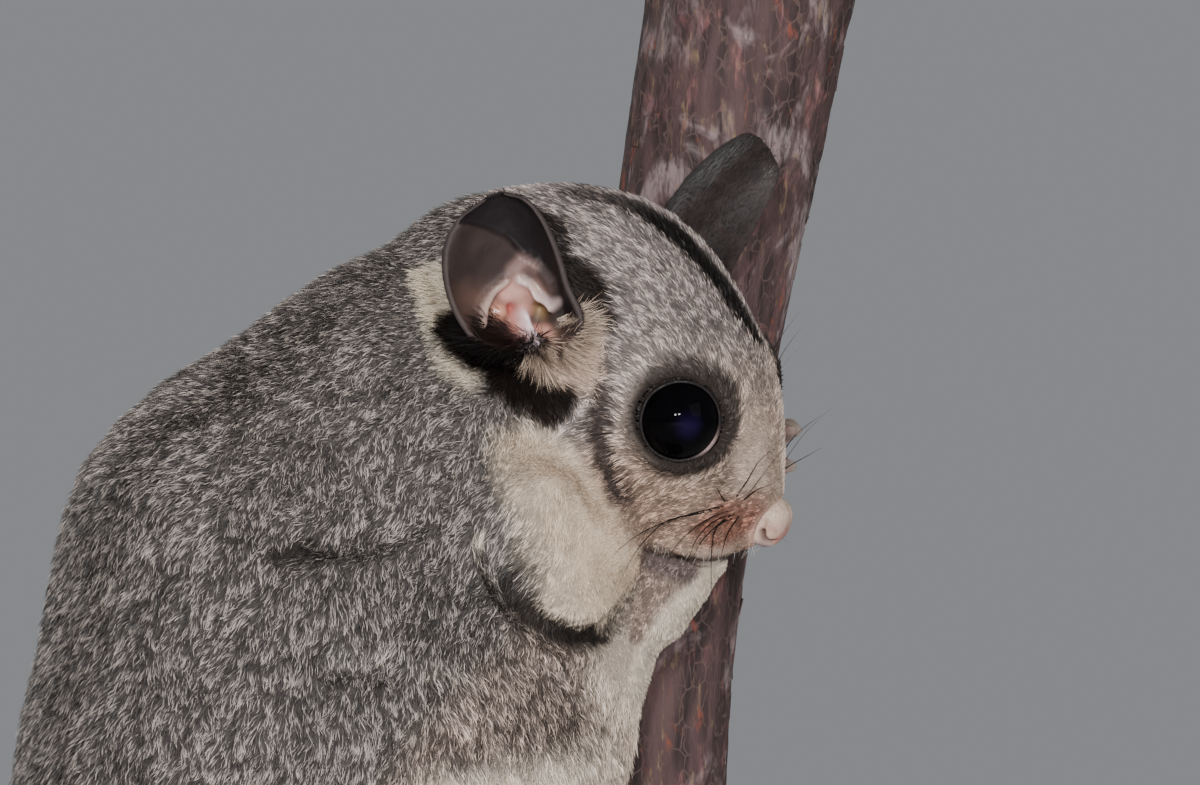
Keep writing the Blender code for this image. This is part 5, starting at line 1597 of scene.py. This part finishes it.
WHISKERS = (
    spots((733, 503), (702, 510), (680, 516), (654, 525), (626, 541), (600, 566)),
    spots((728, 506), (696, 513), (666, 520), (642, 542), (626, 566), (612, 600)),
    spots((731, 509), (712, 516), (692, 528), (674, 546), (663, 566)),
    spots((733, 513), (714, 520), (697, 536), (688, 556), (685, 566)),
    spots((736, 512), (722, 520), (704, 536), (694, 552), (690, 564)),
    spots((735, 516), (716, 526), (711, 546), (710, 572), (711, 600)),
    spots((739, 514), (728, 530), (722, 546), (719, 560)),
    spots((734, 498), (746, 480), (758, 460), (770, 450)),
    spots((740, 502), (754, 490), (770, 483)),
    spots((724, 501), (719, 493), (715, 486)),
)
FINE_WHISKERS = (
    spots((744, 498), (762, 474), (784, 446), (814, 418)),
    spots((730, 404), (737, 394), (748, 380)),
    spots((728, 396), (733, 384), (741, 368)),
    spots((723, 386), (729, 372), (740, 352)),
)


def whisker_lines(skin, rng):
    """The strong whiskers, the fine ones and the lip's hairs, on both sides of the head."""
    facing = np.flatnonzero((skin.normals[:, 1] < -0.1) & (skin.fields["head"] + skin.fields["neck"] > 0.3))
    tree = KDTree(len(facing))
    for i in facing:
        tree.insert(tuple(skin.points[i] * (1, 0, 1)), int(i))
    tree.balance()

    def both_sides(route, standing, count=14):
        line = curve(route, count)
        share = np.linspace(0, 1, count)
        surface = np.minimum.accumulate([skin.points[tree.find(tuple(p))[1], 1] for p in line])
        line[:, 1] = surface - 0.2 * share - standing * share**2
        line[0, 1] += 0.5
        return [line, from_head(in_head(line) * (1, -1, 1))]

    strong = [line for route in WHISKERS for line in both_sides(route, 5.0)]
    fine = [line for route in FINE_WHISKERS for line in both_sides(route, 3.0)]
    lip = []
    edge = curve(MOUTH, 60)
    for k in rng.integers(2, 50, 40):
        root = edge[k] + (rng.uniform(-0.4, 0.4), 0.0, rng.uniform(0.2, 1.3))
        way = np.array([rng.uniform(-0.9, 0.3), 0.0, -1.0]) * rng.uniform(0.5, 1.5)
        lip += both_sides([root, root + way * 0.5, root + way], 0.5, 6)
    return strong, fine, lip


# Hands and feet

# Each digit's tip as degrees round the trunk, height, how far off the bark, and the claw's share of its length
DIGIT_TIPS = {
    "hand_right": ((-64.0, -42.5, 2.0, 0.3), (-42.0, -46.5, 2.0, 0.24), (-36.0, -51.0, 2.0, 0.24),
                   (-43.0, -56.0, 2.0, 0.25), (-74.0, -60.0, 2.0, 0.35)),
    "hand_left": ((40.0, 1.0, 2.2, 0.3), (10.0, -3.5, 2.8, 0.18), (7.0, -7.5, 2.8, 0.18),
                  (22.0, -12.5, 2.2, 0.25), (56.0, -18.0, 2.2, 0.35)),
    "foot_right": ((-100.0, -66.5, 2.0, 0.3), (-84.0, -68.0, 2.0, 0.3), (-68.0, -72.5, 2.0, 0.28),
                   (-66.0, -79.5, 2.0, 0.28)),
    "foot_left": ((130.0, -66.5, 2.0, 0.3), (114.0, -68.0, 2.0, 0.3), (98.0, -72.5, 2.0, 0.28),
                  (96.0, -79.5, 2.0, 0.28)),
}
PALMS = {
    "hand_right": (-100.0, -50.5, 3.4),
    "hand_left": (88.0, -9.0, 3.4),
    "foot_right": (-128.0, -81.0, 4.0),
    "foot_left": (158.0, -81.0, 4.0),
}


def perch_at(z):
    rows = np.array(PERCH_STATIONS)
    return np.stack([np.interp(z, rows[:, 0], rows[:, k]) for k in (1, 2, 3)], axis=-1)


def on_perch(degrees, z, off):
    x, y, radius = perch_at(z)
    a = math.radians(degrees)
    return np.array([x + math.cos(a) * (radius + off), y + math.sin(a) * (radius + off), z])


def make_paw(name, finish, claw_finish):
    paw = copy_of_nodes(name + "_skin", [name])
    remeshed(paw, 0.3, 6)
    hide = Hide(paw)
    x, y, z = hide.points.T
    trunk = perch_at(z)
    off = np.hypot(x - trunk[:, 0], y - trunk[:, 1]) - trunk[:, 2]
    wrinkle = layered(hide.points, 0.9, 101)
    hide.move(hide.normals * (wrinkle * 0.07 - 0.06)[:, None])
    shade = plain((0.36, 0.245, 0.215), len(hide.points))
    shade = mixed(shade, (0.25, 0.15, 0.13), smoothstep(-0.2, 0.8, layered(hide.points, 1.6, 104)) * 0.7)
    shade = mixed(shade, (0.55, 0.38, 0.33), smoothstep(1.6, 0.3, off) * 0.7)
    paint(paw.data, shade)
    hide.unwrap()
    dress(paw, finish, "paw_skin", name)
    hooks = []
    palm = np.array(PALMS[name])
    for number, (angle, z, off, claw) in enumerate(DIGIT_TIPS[name]):
        tip = np.array([angle, z, off])
        start = palm * (0.75, 0.75, 0.0) + tip * (0.25, 0.25, 0.0) + palm * (0, 0, 1)
        path = []
        for share in np.linspace(0.88, 1.0 + claw, 14):
            drop = np.interp(share, (0.9, 1.0 + 0.45 * claw, 1.0 + claw), (-0.45, 0.1, 1.0))
            spot = start + (tip - start) * share
            path.append(on_perch(spot[0], spot[1], max(off - drop * (off - 0.45), 0.45)))
        radii = np.interp(np.linspace(0, 1, 14), (0, 0.45, 1.0), (0.62, 0.5, 0.08))
        hook = tube_mesh(f"{name}_claw_{number + 1}", path, radii, 14)
        turn_outward(hook)
        hooks.append(hook)
    for hook in hooks:
        points = points_of(hook.data)
        along = np.linspace(0, 1, len(points))
        horn = plain((0.42, 0.33, 0.27), len(points))
        paint(hook.data, mixed(horn, (0.12, 0.085, 0.07), smoothstep(0.2, 0.9, along)))
        dress(hook, claw_finish, "paw_skin")
    return hide


def paw_coat(hide, name, finish, rng):
    """Short hair on the back of a paw, thinning out along the digits."""
    axis = perch_at(hide.points[:, 2])
    out = hide.points[:, :2] - axis[:, :2]
    off = np.linalg.norm(out, axis=1) - axis[:, 2]
    outward = unit(np.hstack([out, np.zeros((len(out), 1))]))
    centre = on_perch(*PALMS[name])
    far = np.linalg.norm(hide.points - centre, axis=1)
    density = 11.0 * smoothstep(-0.1, 0.35, (hide.normals * outward).sum(1)) * smoothstep(12.0, 4.5, far)
    density *= smoothstep(0.8, 1.8, off)
    lie = unit(hide.points - centre + outward * 0.1)
    lie = unit(lie - hide.normals * (lie * hide.normals).sum(1)[:, None])
    seeds = hide.seeds(density, rng)
    count = len(seeds[0])
    root = hide.at(seeds, hide.points)
    normal = unit(hide.at(seeds, hide.normals))
    lie = unit(hide.at(seeds, lie) + rng.normal(0, 0.18, (count, 3)))
    length = rng.uniform(0.9, 1.7, count)
    spine = np.stack([root - normal * 0.05, root + normal * 0.16 + lie * (length * 0.5)[:, None],
                      root + normal * 0.22 + lie * length[:, None]], axis=1)
    across = unit(np.cross(lie, normal))
    width = rng.uniform(0.09, 0.15, count)
    widths = np.stack([width, width * 0.8, width * 0], axis=1)
    base = plain((0.27, 0.225, 0.2), count) * rng.uniform(0.6, 1.35, count)[:, None]
    colours = np.stack([base * 0.6, base, base * 1.25], axis=1)
    return blades(name + "_hair", spine, across, widths, colours, hide.uv_at(seeds), finish, "paw_skin")


# Perch and stand


def make_perch(finish):
    """The cut length of trunk, its bark in scales between fine cracks."""
    rows, columns = 520, 180
    z = np.linspace(PERCH_FOOT, PERCH_TOP, rows)
    turn = np.linspace(0, 2 * math.pi, columns, endpoint=False)
    round_way = np.stack([np.cos(turn), np.sin(turn), turn * 0], axis=1)
    table = perch_at(z)
    zz = np.repeat(z, columns)
    out = np.tile(round_way, (rows, 1))
    radius = np.repeat(table[:, 2], columns)
    centre = np.repeat(np.stack([table[:, 0], table[:, 1], z], axis=1), columns, axis=0)
    flat = out * 9.5 + np.stack([zz * 0, zz * 0, zz * 0.30], axis=1)
    scales = layered(flat, 4.6, 111, 4)
    cracks = np.abs(layered(flat + layered(flat, 5.0, 118)[:, None] * 1.2, 3.2, 114, 3))
    relief = 0.2 * scales - 0.2 * smoothstep(0.14, 0.0, cracks) + 0.05 * cloud(flat, 0.5, 117)
    inside = np.clip(np.minimum(zz - PERCH_FOOT, PERCH_TOP - zz) / 1.5, 0, 1)
    side = centre + out * (radius - 0.12 + relief * inside - 0.7 * (1 - inside) ** 2)[:, None]
    grid = np.arange(rows * columns).reshape(rows, columns)
    faces = sheet_faces(np.hstack([grid, grid[:, :1]]))
    first = rows * columns
    end_rows, middles = [], []
    for end, (height, row) in enumerate(((PERCH_FOOT, table[0]), (PERCH_TOP, table[-1]))):
        middle = np.array([row[0], row[1], height])
        end_rows += [middle + round_way * (row[2] - 0.5) * share for share in (0.86, 0.6, 0.3)]
        middles.append(middle)
        stack = [grid[-end]] + [np.arange(columns) + first + (3 * end + k) * columns for k in range(3)]
        for r, q in zip(stack, stack[1:]):
            faces += sheet_faces(np.stack([np.append(r, r[0]), np.append(q, q[0])]))
        hub = np.full(columns, first + 6 * columns + end)
        faces.append(np.stack([stack[-1], np.roll(stack[-1], -1), hub], 1))
    perch = mesh_object("perch_bark", np.vstack([side, *end_rows, middles]), np.vstack(faces))
    turn_outward(perch)
    return dress(perch, finish, "bark", "perch")


def flake_tree(finish):
    """Small plates of bark set over a surface."""
    kinds = {"Bark": "Geometry", "Plates to a square metre": "Float"}
    kinds.update({"Plate length": "Float", "Plate width": "Float", "Seed": "Int"})
    tree = Growth("bark_flakes", kinds)
    sockets = {"Mesh": tree["Bark"], "Density": tree["Plates to a square metre"], "Seed": tree["Seed"]}
    spots = tree.add("DistributePointsOnFaces", None, sockets, "Points")
    turn = Wire(tree, spots.socket.node.outputs["Rotation"])
    sockets = {"Vertices X": 3, "Vertices Y": 5}
    sockets.update({"Size X": tree["Plate width"], "Size Y": tree["Plate length"]})
    plate = tree.add("MeshGrid", None, sockets)
    sockets = {"Mesh": plate, "Offset Scale": FLAKE_DEPTH * MM, "Individual": False}
    plate = tree.add("ExtrudeMesh", None, sockets)
    upright = tree.add("FunctionNodeAlignRotationToVector", {"axis": "Y", "pivot_axis": "Z"},
                       {"Rotation": turn, "Vector": (0.0, 0.0, 1.0)})
    sockets = {"Min": (0.35, 0.35, 0.4), "Max": (1.2, 1.3, 1.0), "Seed": tree["Seed"]}
    size = tree.add("FunctionNodeRandomValue", {"data_type": "FLOAT_VECTOR"}, sockets, "Value")
    sockets = {"Points": spots, "Instance": plate, "Rotation": upright, "Scale": size}
    return tree.ending(tree.add("InstanceOnPoints", None, sockets), finish)


def make_flakes(perch, finish):
    flakes = placed("bark_flakes", perch.data.copy())
    set_points(flakes.data, points_of(flakes.data) - normals_of(flakes.data) * FLAKE_DEPTH)
    top, foot = (PERCH_TOP - 3.5 + ORIGIN[2]) * MM, (PERCH_FOOT + 3.0 + ORIGIN[2]) * MM
    with opened(flakes.data) as bm:
        ends = [v for v in bm.verts if not foot < v.co.z < top]
        bmesh.ops.delete(bm, geom=ends, context="VERTS")
    wanted = {"Plates to a square metre": 110000.0, "Seed": 5}
    wanted.update({"Plate length": 3.4 * MM, "Plate width": 1.1 * MM})
    run_tree(flakes, flake_tree(finish), wanted)
    return dress(flakes, finish, "bark")


def make_stand(wood, steel):
    """A turned base with its edge rounded over, and a rod with a collar at its foot."""
    floor = -ORIGIN[2]
    top = floor + BASE_HEIGHT
    rounding = 2.2
    centre = np.array([-ORIGIN[0], -ORIGIN[1], 0.0])
    outline = [(floor, 64.6), (floor + 0.5, 65.6), (floor + 1.2, BASE_RADIUS), (floor + 9.6, BASE_RADIUS)]
    for a in np.radians(np.linspace(10, 90, 9)):
        outline.append((top - rounding * (1 - math.sin(a)), BASE_RADIUS - rounding * (1 - math.cos(a))))
    outline += [(top - 0.25, 62.6), (top - 0.25, 61.9), (top, 61.4), (top, 30.0), (top, 1.0)]
    base = lathe("stand_foot", centre, (0.0, 0.0, 1.0), outline, 160)
    base.data.shade_flat()
    smooth_by_angle(base)
    dress(base, wood, "base_wood", "stand_base")
    foot = perch_at(np.array(PERCH_FOOT))
    outline = [(floor + 7.0, 2.9), (top, 3.0), (top + 0.01, 4.6), (top + 0.5, 4.9), (top + 1.6, 4.9)]
    outline += [(top + 2.0, 4.6), (top + 2.01, 3.0), (-121.5, 3.0), (-121.0, 3.0), (-115.0, 2.9)]
    rod = lathe("stand_post", np.array([foot[0], foot[1], 0.0]), (0.0, 0.0, 1.0), outline, 64)
    smooth_by_angle(rod)
    dress(rod, steel, "rod_steel", "stand_rod")


def smooth_by_angle(obj, degrees=32.0):
    """Smooth shading that keeps the sharp corners."""
    with opened(obj.data) as bm:
        bmesh.ops.recalc_face_normals(bm, faces=bm.faces)
        for face in bm.faces:
            face.smooth = True
        for edge in bm.edges:
            if len(edge.link_faces) == 2:
                edge.smooth = edge.calc_face_angle() < math.radians(degrees)


# Finishes


def coat_finish():
    coat = Finish("coat_hair", roughness=0.42, specular_ior_level=0.22)
    return coat.give(base_color=coat.painted())


def skin_finish(name, roughness, fine, depth, subsurface=0.0, wet=0.0, gloss=0.4):
    """Bare skin from its painted colour. With a wet value, the paler it is the more it shines."""
    skin = Finish(name, roughness=roughness, specular_ior_level=gloss)
    if subsurface:
        skin.shader.inputs["Subsurface Weight"].default_value = subsurface
        skin.shader.inputs["Subsurface Radius"].default_value = (0.9 * MM, 0.4 * MM, 0.25 * MM)
        skin.shader.inputs["Subsurface Scale"].default_value = 1.0
    grain = skin.noise(fine, 4.0)
    mottle = skin.noise(1.6, 3.0)
    tone = mottle * 0.5 + 0.75
    shade = skin.scaled(skin.painted(), tone)
    rough = grain * 0.25 + (roughness - 0.12)
    if wet:
        pale = skin.add("SeparateColor", None, {"Color": skin.painted()}, "Red").between(0.05, 0.5)
        rough = rough - pale * wet
    return skin.give(base_color=shade, roughness=rough.held(), normal=skin.bump(grain, depth))


def eye_finish():
    eye = Finish("eye_gloss", roughness=0.02, specular_ior_level=0.045)
    return eye.give(base_color=eye.scaled(eye.painted(), eye.noise(1.3, 2.0) + 0.5))


def lid_finish():
    lid = Finish("lid_skin", roughness=0.4, specular_ior_level=0.22)
    grain = lid.noise(0.18, 3.0)
    rough = lid.noise(0.5, 2.0).between(0.4, 0.65) * 0.55 + 0.2
    tone = lid.noise(1.1) * 0.9 + 0.55
    shade = lid.scaled(lid.painted(), tone)
    return lid.give(base_color=shade, roughness=rough, normal=lid.bump(grain, 0.06))


def bark_finish(name):
    """Dark brown-grey bark with pink, orange and cream streaks."""
    bark = Finish(name, roughness=0.82, specular_ior_level=0.25)
    along = (1.0, 1.0, 0.16)
    wide = bark.noise(3.2, 5.0, along, 0.6, 0.8)
    narrow = bark.noise(0.8, 5.0, (1.0, 1.0, 0.24), 0.62, 0.6)
    blotch = bark.noise(5.5, 4.0, (1.0, 1.0, 0.7), 0.6, 0.7)
    rose = bark.noise(4.2, 4.0, (1.0, 1.0, 0.55), 0.62, 1.0)
    colour = wide.between(0.30, 0.68).blend((0.024, 0.016, 0.016), (0.088, 0.052, 0.050))
    colour = (rose.between(0.52, 0.74) * narrow.between(0.36, 0.66)).blend(colour, (0.25, 0.105, 0.105))
    cream = blotch.between(0.52, 0.68) * narrow.between(0.34, 0.58) * 0.85
    colour = cream.blend(colour, (0.27, 0.205, 0.205))
    olive = narrow.between(0.56, 0.70) * wide.between(0.42, 0.62)
    colour = (olive * 0.8).blend(colour, (0.24, 0.165, 0.095))
    rust = bark.noise(2.0, 4.0, (1.0, 1.0, 0.4), 0.6, 0.5).between(0.60, 0.72)
    colour = (rust * 0.75).blend(colour, (0.20, 0.055, 0.035))
    web = bark.add("TexVoronoi", {"feature": "DISTANCE_TO_EDGE"},
                   {"Vector": bark.bent((1.0, 1.0, 0.5), 1.6), "Scale": 0.75}, "Distance")
    colour = (web.between(0.08, 0.0) * wide.between(0.58, 0.40) * 0.3).blend(colour, (0.22, 0.14, 0.12))
    height = narrow * 0.6 + wide * 0.5 + web.between(0.0, 0.14) * 0.12
    rough = (narrow * 0.2 + 0.7).held()
    return bark.give(base_color=colour, roughness=rough, normal=bark.bump(height, 0.3, 0.8))


def wood_finish():
    wood = Finish("turned_wood", roughness=0.38, coat_weight=0.25, coat_roughness=0.2)
    grain = wood.add("TexWave", {"wave_type": "BANDS", "bands_direction": "X"},
                     {"Vector": wood.place((1.0, 0.12, 1.0)), "Scale": 0.11, "Distortion": 5.0, "Detail": 3.0,
                      "Detail Scale": 1.4}, "Fac")
    pores = wood.noise(0.35, 3.0, (1.0, 0.06, 1.0))
    colour = grain.blend((0.085, 0.040, 0.020), (0.175, 0.088, 0.045))
    colour = pores.between(0.58, 0.72).blend(colour, (0.045, 0.021, 0.011))
    rough = (pores * 0.2 + 0.28).held()
    return wood.give(base_color=colour, roughness=rough, normal=wood.bump(pores, 0.05, 0.5))


def steel_finish():
    steel = Finish("brushed_steel", metallic=1.0, roughness=0.3)
    brushed = steel.noise(0.12, 2.0, (1.0, 1.0, 0.03))
    colour = brushed.blend((0.40, 0.40, 0.41), (0.58, 0.58, 0.59))
    rough = (brushed * 0.16 + 0.22).held()
    return steel.give(base_color=colour, roughness=rough, normal=steel.bump(brushed, 0.01, 0.4))


def plain_hair(name, colour, roughness, gloss):
    hair = Finish(name, roughness=roughness, specular_ior_level=gloss)
    return hair.give(base_color=hair.noise(2.0).blend(tuple(c * 0.7 for c in colour), colour))


# Floor, light and camera


def add_light(name, place, aim, size, power, colour=(1.0, 1.0, 1.0)):
    lamp = bpy.data.lights.new(name, "AREA")
    lamp.size = size
    lamp.energy = power
    lamp.color = colour
    obj = placed(name, lamp)
    obj.location = place
    obj.rotation_euler = (Vector(aim) - Vector(place)).to_track_quat("-Z", "Y").to_euler()


def set_studio():
    """A wide pale floor under an even pale sky, a soft light above the camera and two weaker ones."""
    turn = np.linspace(0, 2 * math.pi, 96, endpoint=False)
    rim = np.stack([np.cos(turn), np.sin(turn), turn * 0], axis=1) * FLOOR_REACH
    mesh = bpy.data.meshes.new("floor")
    mesh.from_pydata([tuple(p) for p in rim], [], [tuple(range(len(turn)))])
    floor = placed("floor", mesh)
    paper = Finish("pale_paper", roughness=0.9)
    paper.give(base_color=paper.noise(40.0).blend((0.60, 0.60, 0.59), (0.64, 0.64, 0.63)))
    mesh.materials.append(paper.material)
    world = bpy.data.worlds.new("studio")
    world.use_nodes = True
    world.node_tree.nodes["Background"].inputs["Color"].default_value = (0.92, 0.95, 1.0, 1.0)
    world.node_tree.nodes["Background"].inputs["Strength"].default_value = 0.27
    bpy.context.scene.world = world
    for name, x in (("key_left", -0.045), ("key_right", 0.145)):
        add_light(name, (x, -0.98, 0.36), (0.0, 0.0, 0.215), 0.075, 6.25)
    add_light("fill", (0.85, -0.55, 0.55), (0.0, 0.0, 0.2), 0.6, 1.2, (0.95, 0.97, 1.0))
    add_light("rim", (-0.7, 0.6, 0.85), (0.0, 0.0, 0.2), 0.4, 3.0)
    lens = bpy.data.cameras.new("camera")
    lens.lens = 270.0
    lens.sensor_width = 36.0
    lens.clip_start = 0.05
    lens.clip_end = 20.0
    camera = placed("camera", lens)
    camera.location = (0.014, -0.914, 0.226)
    camera.rotation_euler = (math.pi / 2, 0.0, 0.0)
    bpy.context.scene.camera = camera


def main():
    rng = np.random.default_rng(7)
    set_studio()
    coat = coat_finish()
    skin = make_skin()
    paint_skin(skin)
    under = skin_finish("under_skin", 0.8, 0.22, 0.12, gloss=0.12)
    dress(skin.obj, under, "grey_coat", *FLESH, "tail_1", "tail_2", "tail_3", "tail_4")
    short_coat(skin, coat, rng)
    tail_coat(skin, coat, rng)
    gloss, lid = eye_finish(), lid_finish()
    for name, side in (("eye_right", -1), ("eye_left", 1)):
        make_eye(name, side, gloss)
        make_lid("lid_" + name[4:], side, lid, coat, rng)
    bare = skin_finish("bare_skin", 0.5, 0.2, 0.04, subsurface=0.12)
    ear = skin_finish("ear_skin", 0.62, 0.3, 0.03, subsurface=0.05, wet=0.5, gloss=0.3)
    wet = skin_finish("nose_skin", 0.23, 0.14, 0.08, subsurface=0.1, gloss=0.5)
    make_nose(wet, coat, rng)
    for name in EARS:
        make_ear(name, ear, coat, rng)
    dark_hair = plain_hair("whisker_dark", (0.012, 0.009, 0.008), 0.6, 0.08)
    light_hair = plain_hair("whisker_light", (0.7, 0.66, 0.6), 0.4, 0.3)
    strong, fine, lip = whisker_lines(skin, rng)
    for name, lines, thick, hair in (
        ("whiskers", strong, 0.09, dark_hair),
        ("whiskers_fine", fine, 0.04, dark_hair),
        ("lip_hairs", lip, 0.024, light_hair),
    ):
        values = {"Thickness": thick * MM, "Sides": WHISKER_SIDES}
        grown_tubes(name, lines, whisker_tree(hair), values, hair, "head_coat")
    claw = skin_finish("claw_horn", 0.35, 0.3, 0.03)
    for name in PAWS:
        hide = make_paw(name, bare, claw)
        paw_coat(hide, name, coat, rng)
    bark = bark_finish("bark_scales")
    perch = make_perch(bark)
    make_flakes(perch, bark)
    make_stand(wood_finish(), steel_finish())


main()
